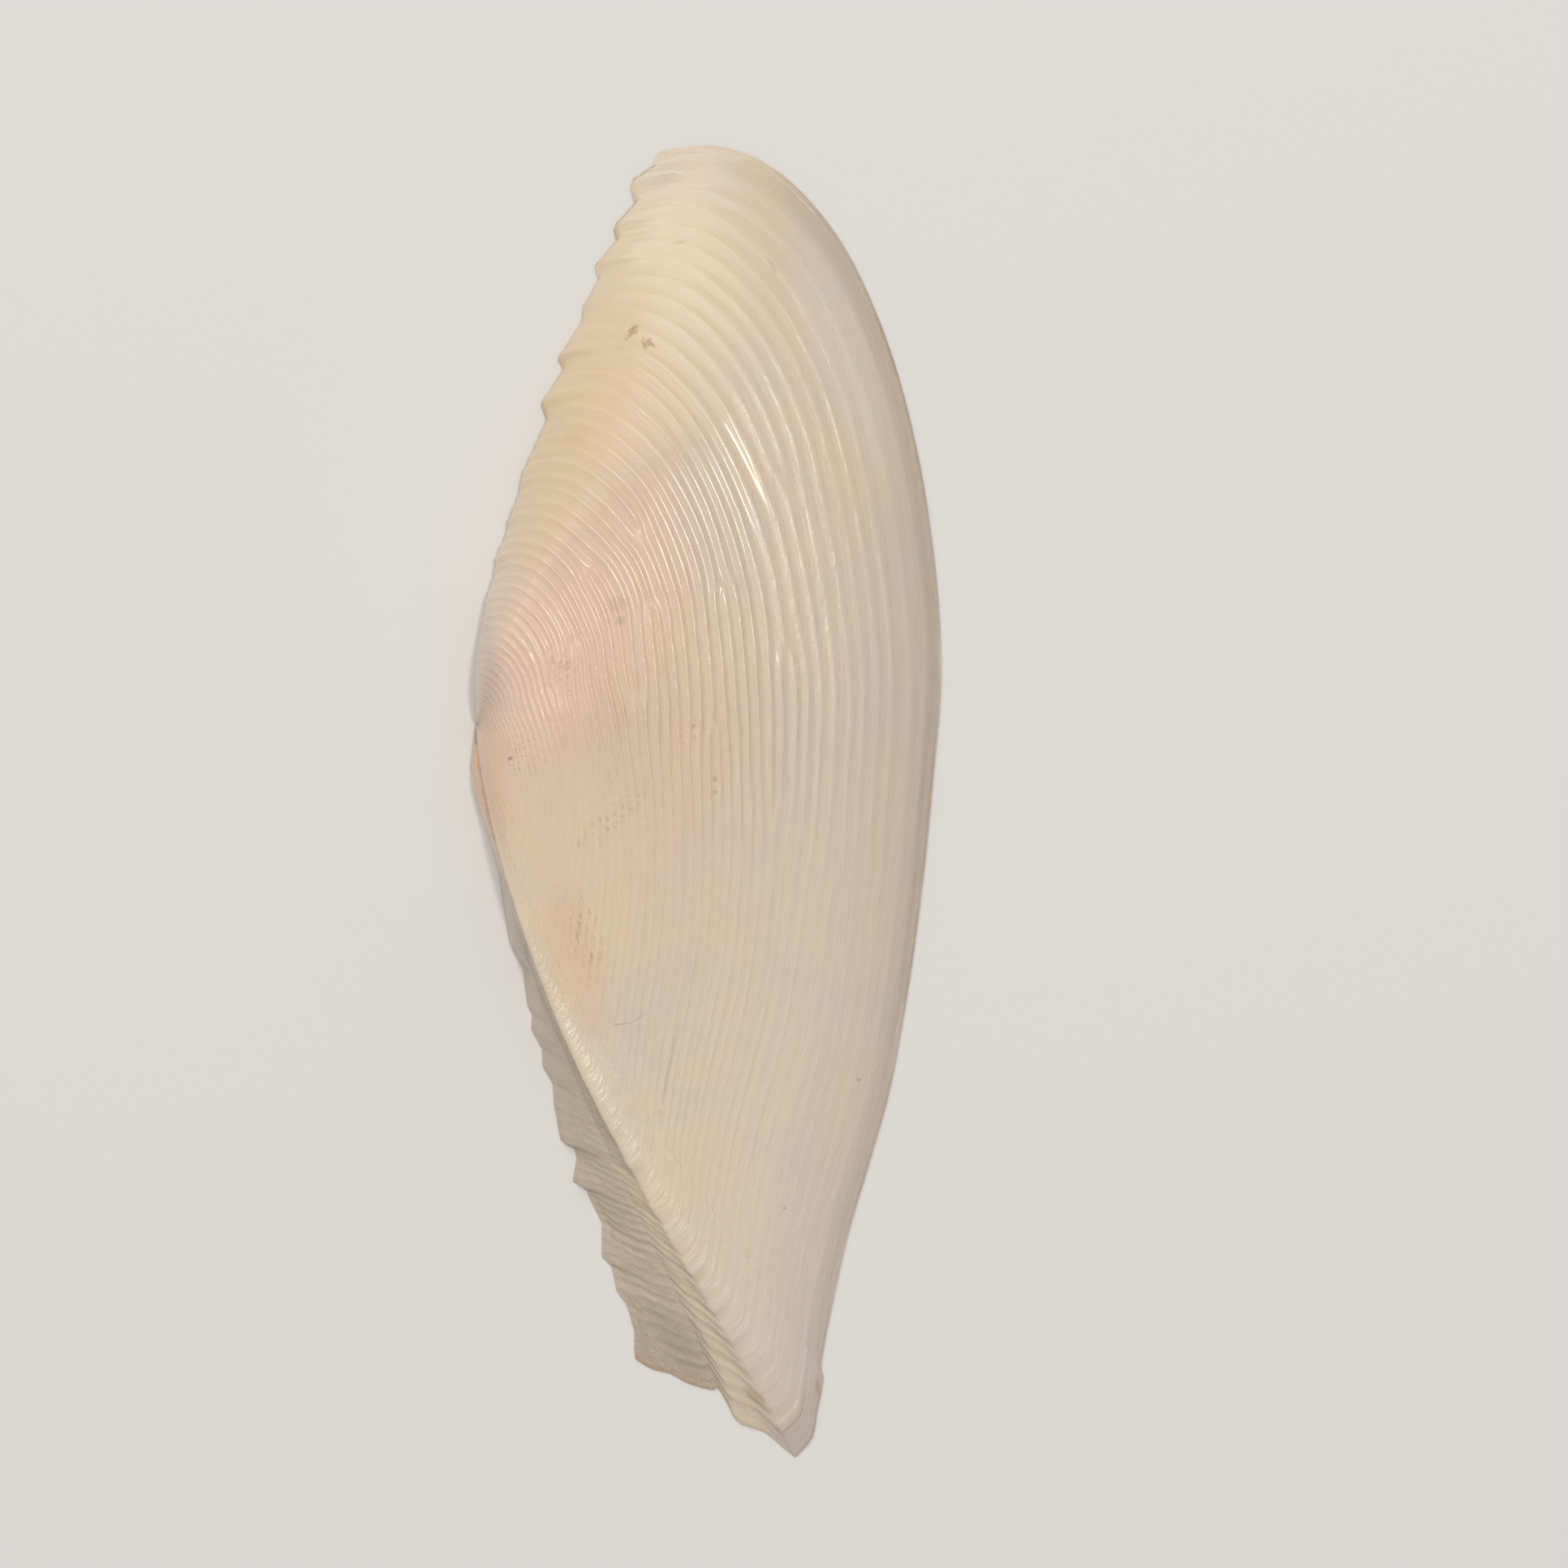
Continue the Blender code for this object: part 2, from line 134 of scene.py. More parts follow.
# The cords, the raised growth lines. They stand closer near the beak: cord number n lies at the share
# (n / CORDS) ** (1 / CORD_PACE) of the way from the beak to the edge.
CORDS = 54
CORD_PACE = 0.53
FIRST_CORD = 1
ROWS_PER_CORD = 6
CORD_RISE = 0.15
CORD_CREST = 0.6
CORD_EDGE = 1.5
CORD_MEAN = 0.4
CORD_LEVEL = 0.95
# Where two cords run into one: the cord's number, its place on the disc, and the side that has one more.
MERGES = [
    (25.5, 0.27, 1), (34.5, 0.2, -1), (39.5, 0.33, 1), (30.5, 0.44, -1), (43.5, 0.42, 1), (21.5, 0.36, -1),
    (47.5, 0.62, 1), (42.5, 0.58, -1), (37.5, 0.5, 1), (29.5, 0.18, 1), (45.5, 0.26, -1), (33.5, 0.3, 1),
]
MERGE_LENGTH = 0.016
MERGE_LOSS = 0.35
# Where the cords are fainter: by how much, and from where that starts to where it is complete.
FAINT_AT_FRONT = (0.65, 0.16, 0.03)
FAINT_BEHIND = (0.74, 0.46, 0.66)
FAINT_AT_EDGE = (0.6, 0.5, 0.85)
FAINT_AT_BEAK = (0.75, 0.3, 0.05)
NONE_AT_BEAK = (0, 0.03)
FAINT_BY_KEEL = (0.9, 0.88, 0.96)
CLEAR_BY_OLD_KEEL = (0.6, 0.8)
BOLD_ON_SLOPE = 0.28
SLOPE_CORDS_FROM = (0.45, 0.7)
SLOPE_CORDS_ACROSS = (1, 1.15)
# Pauses in growth: the keel's share of growth at each, and the depth of the crease that it left there.
PAUSES = [
    (0.395, 0.3), (0.473, 0.4), (0.544, 0.5), (0.597, 1.0), (0.658, 0.6), (0.704, 0.5), (0.749, 0.9),
    (0.773, 0.6), (0.801, 0.9), (0.847, 0.7), (0.887, 0.6), (0.947, 0.5),
]
PAUSE_WIDTH = 0.007
PAUSE_DEPTH = 0.1
PAUSE_FROM = (0.4, 0.6)
PAUSE_ACROSS = (0.982, 1)
PAUSE_ON_DISC = 0.06
FAINT_PAUSE_ON_SLOPE = (0.45, 1.2, 1.8)
# The keel, the furrow, the folds behind the teeth and the last layer at the tip. The first half width is on
# the side of the disc, the second on the side of the slope.
KEEL_RISE = 0.12
KEEL_HALF_WIDTHS = (0.02, 0.3)
KEEL_FROM = (0.2, 0.45)
KEEL_STEP = 0.34
KEEL_STEP_START = 0.12
KEEL_STEP_HALF_WIDTHS = (0.012, 0.45)
FURROW_DEPTH = 0.02
FURROW_HALF_WIDTHS = (0.35, 0.16)
FURROW_FROM = (0.55, 0.7)
SLOPE_START = (0.99, 1.06)
FOLD_RISE = 0.42
BACK_FOLD_RISES = (0, 0.7)
BACK_FOLD_FALLS = (0.85, 1)
FRONT_FOLD_PLACE = 0.022
FRONT_FOLD_HALF_WIDTH = 0.016
LAST_LAYER = 0.953
LAST_LAYER_STEP = 0.05
LAST_LAYER_EDGE = 0.003
LAST_LAYER_ACROSS = (0.95, 0.975)
EDGE_CALM = (0.95, 1)
BEAK_CALM = (0.03, 0.3)
# Unevenness of growth: its reach, its changes per cord, its changes per station, and the seed of its noise.
CORD_SWAY = (0.3, 0.3, 2.5, 1.5)
CORD_SHIVER = (0.1, 1.3, 11, 2.5)
PAUSE_SWAY = (0.006, 0.2, 6, 3.5)
LEVEL_OF_CORDS = (0.45, 2.3, 4, 4.5)
LEVEL_OF_PATCHES = (0.4, 0.6, 6, 7.5)
SWELLS = (0.055, 0.26, 1.6, 5.5)
SWELLS_FROM = (0.45, 0.85)
SLOPE_WAVES = (0.035, 1.6, 5, 8.5)
SLOPE_WAVES_FROM = (0.2, 0.6)
# The dents change by the millimetre both ways, whatever the growth lines do.
DENTS = (0.03, 0.35, 0.35, 6.5)

DISC_COLUMNS = 175
EVEN_PART = 0.62
KEEL_BAND_COLUMNS = 22
SLOPE_BAND_COLUMNS = 38
evenly = np.linspace(0, 1, DISC_COLUMNS + 1)
disc_station = EVEN_PART * evenly + (1 - EVEN_PART) / 2 * (1 - np.cos(np.pi * evenly))
keel_band_station = np.linspace(0, 1, KEEL_BAND_COLUMNS + 1)[1:]
slope_band_station = np.linspace(0, 1, SLOPE_BAND_COLUMNS + 1)[1:]
station = np.concatenate([disc_station, 1 + keel_band_station, 2 + slope_band_station])


def ease(start, end, x):
    """Smooth step from 0 at start to 1 at end."""
    s = np.clip((x - start) / (end - start), 0, 1)
    return s * s * (3 - 2 * s)


number = np.linspace(FIRST_CORD, CORDS, (CORDS - FIRST_CORD) * ROWS_PER_CORD + 1)
share = np.append(0, (number / CORDS) ** (1 / CORD_PACE))
number = np.append(0, number)
keel_pace = YOUNG_KEEL_PACE + (OLD_KEEL_PACE - YOUNG_KEEL_PACE) * ease(*PACE_CHANGE, share)
keel_share = share ** keel_pace


def wander(x, y, seed):
    """Soft noise, from about -1 to 1, over two coordinates."""
    x, y = np.broadcast_arrays(x, y)
    return np.reshape([noise.noise((a, b, seed)) for a, b in zip(x.ravel(), y.ravel())], x.shape)


def uneven(kind, over, along_it):
    """One kind of unevenness, over the growth lines and along them."""
    reach, per_line, per_station, seed = kind
    return reach * wander(over * per_line, along_it * per_station, seed)


def less(change, x):
    """What a change leaves of a whole: its amount is taken off from a start to an end."""
    amount, start, end = change
    return 1 - amount * ease(start, end, x)


def ridge(off, half_widths):
    """Round section of a ridge or furrow, with its own half width on either side."""
    return np.exp(-(off / np.where(off < 0, *half_widths)) ** 2)


def along(points, shares):
    """Points at the given shares of the length of a smooth curve through an edge's points."""
    p = np.array(points)
    p = np.vstack([2 * p[0] - p[1], p, 2 * p[-1] - p[-2]])
    curve = []
    for a, b, c, d in zip(p, p[1:], p[2:], p[3:]):
        for s in np.linspace(0, 1, CURVE_STEPS, endpoint=False):
            curve.append(b + 0.5 * s * (c - a + s * (2 * a - 5 * b + 4 * c - d + s * (3 * (b - c) + d - a))))
    curve = np.array(curve + [p[-2]])
    length = np.append(0, np.cumsum(np.hypot(*np.diff(curve, axis=0).T)))
    at = np.array(shares) * length[-1]
    return np.stack([np.interp(at, length, curve[:, 0]), np.interp(at, length, curve[:, 1])], -1)


def grown_margin(points, share):
    """Point of a hinge margin whose distance from the beak is the given share of that of its end."""
    p = np.array(points)
    reach = np.hypot(*(p - BEAK).T)
    at = share * reach[-1]
    return np.stack([np.interp(at, reach, p[:, 0]), np.interp(at, reach, p[:, 1])], -1)


def bowed(end, share, bow):
    """Path from the beak to an end on the lower edge, bowed towards the hinge side."""
    way = np.array(end) - BEAK
    side = np.array([way[1], -way[0]]) / np.hypot(*way)
    return BEAK + share[:, None] * way + (bow * share * (1 - share) ** BOW_FALL)[:, None] * side


def rise(share, fall):
    """Height along growth as a share of the crown's: a dome at the beak, then a fall to the edge."""
    dome = np.sin(np.pi / 2 * np.minimum(share / CROWN, 1) ** DOME_POWER)
    return np.where(share < CROWN, dome, 1 - np.clip((share - CROWN) / (1 - CROWN), 0, 1) ** fall)


def band(start, end, edge, stations, w):
    """A band of the slope between two grown paths. Its last lines take the shape of the valve's edge."""
    straight = np.array(edge[0]) + stations[:, None] * (np.array(edge[-1]) - edge[0])
    echo = along(edge, stations) - straight
    return start[:, None] + stations[:, None] * (end - start)[:, None] + w[..., None] ** ECHO_FADE * echo


def near(lines, edge_line):
    """How close each place is to a margin, from 1 on it to 0 beyond the reach of its teeth."""
    return np.exp(-(np.hypot(*(lines - edge_line).transpose(2, 0, 1)) / TOOTH_REACH) ** 2)[..., None]


def smooth_skin(teeth=1.0):
    """Outer face without its cords, and how far the teeth stand out from each margin."""
    w = share[:, None]
    t = disc_station
    at_keel = keel_share[:, None]
    grown = w ** (1 - (1 - keel_pace[:, None]) * ease(KEEL_PACE_FROM, 1, t))
    way = along(BELLY_EDGE, t) - BEAK
    ray = way / np.hypot(*way.T)[:, None]
    across = np.stack([ray[:, 1], -ray[:, 0]], -1)
    bow = KEEL_BOW * grown * (1 - grown) ** BOW_FALL * ease(KEEL_BOW_FROM, 1, t)
    bow = bow - FRONT_BOW * w ** FRONT_BOW_POWER * (1 - w) * (1 - ease(0, FRONT_BOW_TO, t))
    disc = BEAK + grown[..., None] * way + bow[..., None] * across
    front = grown_margin(FRONT_MARGIN, share)[:, None] - disc[:, :1]
    disc = disc + teeth * near(disc, disc[:, :1]) * front
    flank_width = YOUNG_FLANK + FLANK_GROWTH * ease(*FLANK_CHANGE, w)
    flank = np.sin(np.pi / 2 * np.minimum(t / flank_width, 1)) ** FLANK_POWER
    young = 1 - ease(*YOUNG_KEEL, at_keel)
    keel_height = KEEL_HEIGHT * rise(at_keel, KEEL_FALL) * (1 - YOUNG_KEEL_LOSS * young)
    up_side = np.clip((t - KEEL_SIDE_FROM) / (1 - KEEL_SIDE_FROM), 0, 1)
    rounded = 1 - (1 - up_side ** 2) ** YOUNG_SIDE_POWER
    to_keel = young * rounded + (1 - young) * ease(KEEL_SIDE_FROM, 1, t)
    height = VALVE_DEPTH * rise(grown, DISC_FALL) * flank
    height = height + (keel_height - height) * to_keel

    furrow = bowed(TIP_EDGE[-1], keel_share ** FURROW_PACE, FURROW_BOW)
    back = bowed(SLOPE_EDGE[-1], keel_share ** BACK_PACE, BACK_BOW)
    keel_band = band(disc[:, -1], furrow, TIP_EDGE, keel_band_station, at_keel)
    slope_band = band(furrow, back, SLOPE_EDGE, slope_band_station, at_keel)
    saw = grown_margin(BACK_MARGIN, keel_share ** BACK_PACE)[:, None] - slope_band[:, -1:]
    slope_band = slope_band + teeth * near(slope_band, slope_band[:, -1:]) * saw
    drop = YOUNG_DROP + MIDDLE_DROP_MORE * (1 - young) - OLD_DROP_LESS * ease(*OLD_DROP_CHANGE, at_keel)
    keel_band_height = keel_height * (1 - drop * keel_band_station)
    round_slope = np.cos(np.pi / 2 * slope_band_station) ** ROUND_SLOPE_POWER
    even_slope = (1 - slope_band_station) ** EVEN_SLOPE_POWER
    slope = ROUND_SLOPE_PART * round_slope + (1 - ROUND_SLOPE_PART) * even_slope
    slope = slope + young * (even_slope - slope)
    slope_band_height = (1 - drop) * keel_height * slope

    plan = np.concatenate([disc, keel_band, slope_band], 1)
    lift = np.concatenate([height, keel_band_height, slope_band_height], 1)
    lift[-1] = 0
    lift[:, 0] = lift[:, -1] = 0
    for _ in range(BEAK_EVENINGS):
        softer = lift.copy()
        softer[:, 1:-1] = 0.5 * lift[:, 1:-1] + 0.25 * (lift[:, :-2] + lift[:, 2:])
        lift = lift + (1 - ease(*BEAK_EVENED, keel_share))[:, None] * (softer - lift)
    return np.concatenate([plan, lift[..., None]], 2), -front[..., 0], -saw[..., 0]


def cords():
    """Section of the cords over the whole face, from 0 in a groove to 1 on a crest."""
    n = number[:, None]
    place = n + uneven(CORD_SWAY, n, station) + uneven(CORD_SHIVER, n, station)
    kept = np.ones(place.shape)
    for middle, where, side in MERGES:
        off_line, off_place = n - middle, (station - where) / MERGE_LENGTH
        place = place + side * np.arctan2(off_line, off_place) / (2 * np.pi)
        kept = kept * (1 - MERGE_LOSS * np.exp(-off_line ** 2 - off_place ** 2))
    f = place % 1
    section = np.where(f < CORD_CREST, ease(0, CORD_CREST, f), 1 - ease(CORD_CREST, 1, f))
    return kept * section ** CORD_EDGE


def pauses():
    """Depth of the creases that pauses in growth left, from 0 to 1, and their steps in the keel's line."""
    w = keel_share[:, None] + uneven(PAUSE_SWAY, number[:, None], station)
    crease = np.zeros(w.shape)
    for line, depth in PAUSES:
        crease = np.maximum(crease, depth * np.exp(-((w - line) / PAUSE_WIDTH) ** 2))
    starts = np.array([line for line, _ in PAUSES])
    deep = np.array([depth for _, depth in PAUSES])
    since = np.clip(np.searchsorted(starts, keel_share) - 1, 0, len(starts) - 2)
    part = np.clip((keel_share - starts[since]) / (starts[since + 1] - starts[since]), 0, 1)
    step = np.where(keel_share < starts[0], 0, deep[since] * (0.5 - part) * ease(0, KEEL_STEP_START, part))
    return crease, step


def built_face():
    """Outer face with its relief, and what its finish needs to know at each place."""
    bare, front_teeth, back_teeth = smooth_skin()
    bare[0] = [*BEAK, 0]
    n, w, t = number[:, None], share[:, None], station
    keel_w = keel_share[:, None]
    on_slope = ease(*SLOPE_START, t)
    off_edge = 1 - ease(*EDGE_CALM, w)
    grown = ease(*BEAK_CALM, w) * off_edge

    crest = cords()
    level = CORD_LEVEL + uneven(LEVEL_OF_CORDS, n, t) + uneven(LEVEL_OF_PATCHES, n, t)
    bold = less(FAINT_AT_FRONT, t) * less(FAINT_BEHIND, t)
    bold = bold * less(FAINT_AT_EDGE, w) * less(FAINT_AT_BEAK, w) * ease(*NONE_AT_BEAK, w)
    bold = bold * (1 - (1 - less(FAINT_BY_KEEL, t)) * (1 - ease(*CLEAR_BY_OLD_KEEL, keel_w)))
    slope_bold = BOLD_ON_SLOPE * ease(*SLOPE_CORDS_FROM, keel_w)
    bold = bold + (slope_bold - bold) * ease(*SLOPE_CORDS_ACROSS, t)
    height = CORD_RISE * level * bold * (crest - CORD_MEAN)
    height = height + uneven(SWELLS, n, t) * ease(*SWELLS_FROM, w) * (1 - on_slope)
    height = height + uneven(DENTS, bare[..., 0], bare[..., 1]) * grown

    crease, step = pauses()
    crease = crease * np.maximum(ease(*PAUSE_ACROSS, t), PAUSE_ON_DISC) * ease(*PAUSE_FROM, keel_w)
    crease = crease * less(FAINT_PAUSE_ON_SLOPE, t)
    height = height - PAUSE_DEPTH * crease
    height = height + KEEL_RISE * ridge(t - 1, KEEL_HALF_WIDTHS) * ease(*KEEL_FROM, keel_w) * off_edge
    height = height - FURROW_DEPTH * ridge(t - 2, FURROW_HALF_WIDTHS) * ease(*FURROW_FROM, keel_w) * off_edge
    slope_part = np.clip(t - 2, 0, 1)
    back_fold = back_teeth * ease(*BACK_FOLD_RISES, slope_part) * (1 - ease(*BACK_FOLD_FALLS, slope_part))
    front_fold = front_teeth * np.exp(-((t - FRONT_FOLD_PLACE) / FRONT_FOLD_HALF_WIDTH) ** 2) * (t < 1)
    height = height + FOLD_RISE * (back_fold + front_fold)
    height = height + uneven(SLOPE_WAVES, n, t) * on_slope * ease(*SLOPE_WAVES_FROM, keel_w)
    last_layer = ease(LAST_LAYER - LAST_LAYER_EDGE, LAST_LAYER, w) * ease(*LAST_LAYER_ACROSS, t)
    height = height - LAST_LAYER_STEP * last_layer
    height[:, 0] = height[:, -1] = height[-1] = height[0] = 0

    normal = np.cross(np.gradient(bare, axis=1), np.gradient(bare, axis=0))
    normal *= np.where(normal[..., 2:] < 0, -1, 1)
    normal /= np.maximum(np.linalg.norm(normal, axis=2, keepdims=True), 1e-9)
    skin = bare + height[..., None] * normal
    slope_way = skin[:, len(disc_station) - 1 + len(keel_band_station)] - skin[:, len(disc_station) - 1]
    slope_way = slope_way / np.maximum(np.linalg.norm(slope_way, axis=1, keepdims=True), 1e-9)
    shift = -KEEL_STEP * step[:, None] * ridge(t - 1, KEEL_STEP_HALF_WIDTHS) * grown
    skin = skin + shift[..., None] * slope_way[:, None] * np.array([1, 1, 0])
    skin[..., 2] = np.hypot(np.maximum(skin[..., 2], 0), LIP * ease(*NONE_AT_BEAK, w))
    return bare, skin, {"growth": n + 0 * t, "station": t + 0 * n, "groove": 1 - crest,
                        "bold": np.clip(bold, 0, 1) + 0 * t, "crease": crease + 0 * t}


bare, skin, marks = built_face()
rows, columns = skin.shape[:2]
valve_mesh = bmesh.new()
bmesh.ops.create_grid(valve_mesh, x_segments=columns - 1, y_segments=rows - 1, size=1)
layers = {name: valve_mesh.verts.layers.float.new(name) for name in [*marks, "inside"]}
corner = np.empty((rows, columns), dtype=object)
for vert in list(valve_mesh.verts):
    column = round((vert.co.x + 1) / 2 * (columns - 1))
    row = round((vert.co.y + 1) / 2 * (rows - 1))
    corner[row, column] = vert
    vert.co = skin[row, column] * MM
    for name, values in marks.items():
        vert[layers[name]] = values[row, column]
bmesh.ops.pointmerge(valve_mesh, verts=list(corner[0]), merge_co=corner[0, 0].co.copy())

# ---------------------------------------------------------------------------------------------------------
# The rim and the inner face. The rim is the flat edge of the same piece, where the valve met its other half.
# The inner face follows the outer one at the thickness of the wall. Under the beak the wall thickens to the
# hinge plate with two small teeth.
# ---------------------------------------------------------------------------------------------------------
HOLLOW_MIDDLE = np.array([0.9, 2.0])
RIM_WIDTH = 0.62
RIM_EVENINGS = 10
# The rim's section: part of its width, and height there.
RIM_SECTION = [(0.04, 0.05), (0.14, 0.0), (1.0, 0.0)]
WALL_AT_EDGE = 0.5
WALL_AT_CROWN = 1.0
EVERY_ROWS = 4
EVERY_COLUMNS = 3
HALVINGS = 12
INNER_LIP = 0.14
INNER_STEP = 0.5
PLATE_EVENINGS = 6
HOLLOW_EVENINGS = 40
INNER_SHARES = [0.07, 0.15, 0.24, 0.34, 0.45, 0.56, 0.68, 0.8, 0.91]
HINGE_PLATE_LIFT = 0.75
HINGE_PLATE_WIDTH = 1.5
HINGE_PLATE_PART = 0.35
NARROW_STEP = 0.4
HINGE_HALF_LENGTH = 9.0
HINGE_TOOTH_DROP = 0.45
HINGE_TEETH = [0.75, -0.65]
HINGE_TOOTH_HALF_WIDTH = 0.3


def around(grid):
    """The border of a grid in order: up its front margin, along its last row and back to the beak."""
    return [*grid[:, 0], *grid[-1, 1:], *grid[-2:0:-1, -1]]


def evened(values, times):
    """Values round a ring, with short kinks smoothed away."""
    for _ in range(times):
        values = 0.5 * values + 0.25 * (np.roll(values, 1, 0) + np.roll(values, -1, 0))
    return values


def hollow_height(x, y):
    """Height of the inner face at a place in plan: it leaves the wall's thickness above it."""
    hit = bare_face.ray_cast(Vector((x, y, 2 * VALVE_DEPTH)), Vector((0, 0, -1)))[0]
    if hit is None:
        return 0.0
    wall = WALL_AT_EDGE + (WALL_AT_CROWN - WALL_AT_EDGE) * hit.z / VALVE_DEPTH
    low, high = 0.0, hit.z
    for _ in range(HALVINGS):
        middle = (low + high) / 2
        if bare_face.find_nearest(Vector((x, y, middle)))[3] >= wall:
            low = middle
        else:
            high = middle
    return low


def drawn_in(ring, places, finish):
    """Extrudes a closed ring of edges, and puts the new ring's corners at the given places."""
    edges = [valve_mesh.edges.get((a, b)) for a, b in zip(ring, ring[1:] + ring[:1])]
    made = bmesh.ops.extrude_edge_only(valve_mesh, edges=edges)["geom"]
    fresh = {item for item in made if isinstance(item, bmesh.types.BMVert)}
    for item in made:
        if isinstance(item, bmesh.types.BMFace):
            item.material_index = finish
    inner = [next(e.other_vert(v) for e in v.link_edges if e.other_vert(v) in fresh) for v in ring]
    for vert, place in zip(inner, places):
        vert.co = Vector(place) * MM
    return inner


coarse = bare[::EVERY_ROWS, ::EVERY_COLUMNS]
facets = np.arange(coarse[..., 0].size).reshape(coarse.shape[:2])
facets = np.stack([facets[:-1, :-1], facets[1:, :-1], facets[1:, 1:], facets[:-1, 1:]], -1)
facets = facets.reshape(-1, 4)
bare_face = BVHTree.FromPolygons([Vector(p) for p in coarse.reshape(-1, 3)], facets.tolist())

outline = np.array(around(skin))[:, :2]
even_skin = smooth_skin(teeth=0.0)[0]
even_line = np.array(around(even_skin))[:, :2]
tangent = np.roll(even_line, -1, 0) - np.roll(even_line, 1, 0)
tangent /= np.maximum(np.hypot(*tangent.T), 1e-9)[:, None]
inward = np.stack([tangent[:, 1], -tangent[:, 0]], -1)
inward *= np.sign(np.sum(inward * (HOLLOW_MIDDLE - even_line), 1))[:, None]
rim_line = evened(even_line + RIM_WIDTH * inward, RIM_EVENINGS)

ring = around(corner)
for part, height in RIM_SECTION:
    plan = outline + part * (rim_line - outline)
    ring = drawn_in(ring, np.append(plan, np.full((len(plan), 1), height), 1), 1)
    for vert in ring:
        vert[layers["inside"]] = (part - 1) * RIM_WIDTH

to_middle = HOLLOW_MIDDLE - rim_line
reach = np.hypot(*to_middle.T)
from_beak = rim_line[:, 1] - BEAK[1]
hinge_share = np.clip(1 - (from_beak / HINGE_HALF_LENGTH) ** 2, 0, 1)
hinge_teeth = sum(np.exp(-((from_beak - place) / HINGE_TOOTH_HALF_WIDTH) ** 2) for place in HINGE_TEETH)
plate_height = HINGE_PLATE_LIFT / np.maximum(hinge_share, 0.05)
plate_height = plate_height - HINGE_TOOTH_DROP * np.minimum(hinge_teeth, 1)
plate = np.maximum(HINGE_PLATE_WIDTH * hinge_share, NARROW_STEP)
step = INNER_LIP + plate + INNER_STEP
insets = [np.full(len(reach), INNER_LIP), INNER_LIP + HINGE_PLATE_PART * plate, INNER_LIP + plate, step]
insets += [step + part * (reach - step) for part in INNER_SHARES]
for inset in insets:
    plan = rim_line + (inset / reach)[:, None] * to_middle
    on_plate = np.all(inset < step)
    height = np.array([hollow_height(x, y) for x, y in plan])
    height = evened(height, PLATE_EVENINGS if on_plate else HOLLOW_EVENINGS)
    if on_plate:
        height = np.minimum(height, plate_height)
    ring = drawn_in(ring, np.append(plan, height[:, None], 1), 2)
    for vert, depth in zip(ring, inset):
        vert[layers["inside"]] = depth
middle = Vector((*HOLLOW_MIDDLE, hollow_height(*HOLLOW_MIDDLE))) * MM
ring = drawn_in(ring, np.tile(np.array(middle) / MM, (len(ring), 1)), 2)
bmesh.ops.pointmerge(valve_mesh, verts=ring, merge_co=middle)
bmesh.ops.recalc_face_normals(valve_mesh, faces=valve_mesh.faces)
for edge in valve_mesh.edges:
    edge.smooth = len({face.material_index for face in edge.link_faces}) == 1

low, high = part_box("right_valve")
places = np.array([vert.co for vert in valve_mesh.verts])
off_middle = (np.array(low) + np.array(high)) / 2 - (places.min(0) + places.max(0)) / 2
bmesh.ops.translate(valve_mesh, verts=valve_mesh.verts, vec=(off_middle[0], off_middle[1], 0))
mesh = bpy.data.meshes.new("valve")
valve_mesh.to_mesh(mesh)
valve_mesh.free()
mesh.shade_smooth()
valve = bpy.data.objects.new("valve", mesh)
bpy.context.scene.collection.objects.link(valve)
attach(valve, "root")
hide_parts("right_valve")

# ---------------------------------------------------------------------------------------------------------
# The shell's finish. The outer face is ivory with a peach fan from the beak, lilac grey towards the belly
# edge and greyer on the slope, partly as painted shade. Painted shade also darkens the belly margin, the
# slope's lower end, the grooves and the creases. It is glossy on the cords' crests and satin in the grooves,
# where a little dirt has stayed.
# ---------------------------------------------------------------------------------------------------------
IVORY = (0.78, 0.65, 0.51, 1)
CREAM = (0.84, 0.68, 0.47, 1)
WARM_CREAM = (0.86, 0.65, 0.38, 1)
PEACH = (0.92, 0.65, 0.46, 1)
PINK = (0.96, 0.66, 0.52, 1)
UMBO_PEACH = (0.80, 0.50, 0.33, 1)
UMBO_GREY_AND_SHADE = (0.60, 0.45, 0.38, 1)
PALE_LILAC = (0.86, 0.76, 0.66, 1)
LILAC_GREY = (0.74, 0.63, 0.57, 1)
# The slope's grey: partly its own tone, partly painted shade.
SLOPE_GREY_AND_SHADE = (0.52, 0.43, 0.32, 1)
BAND_YELLOW = (0.72, 0.60, 0.43, 1)
GREEN_GREY = (0.56, 0.49, 0.36, 1)
GROOVE_BROWN = (0.52, 0.36, 0.24, 1)
# Painted shade for the belly margin.
MARGIN_SHADE_GREY = (0.38, 0.31, 0.25, 1)
DIRT = (0.27, 0.20, 0.13, 1)
STAIN_YELLOW = (0.72, 0.50, 0.25, 1)
SKIN_BROWN = (0.36, 0.16, 0.05, 1)
TIP_GREY = (0.56, 0.48, 0.44, 1)
# Painted shade for the slope's lower end.
LOW_SLOPE_SHADE_GREY = (0.36, 0.29, 0.22, 1)
EDGE_BROWN = (0.36, 0.23, 0.12, 1)
PER_METRE = 1000.0
# Growth runs to 54 at the edge, and the station along it from 0 at the front to 3 at the back margin.
TO_LILAC = (30.0, 52.0)
BACK_HALF = (0.08, 0.5)
LILAC_PART = 0.32
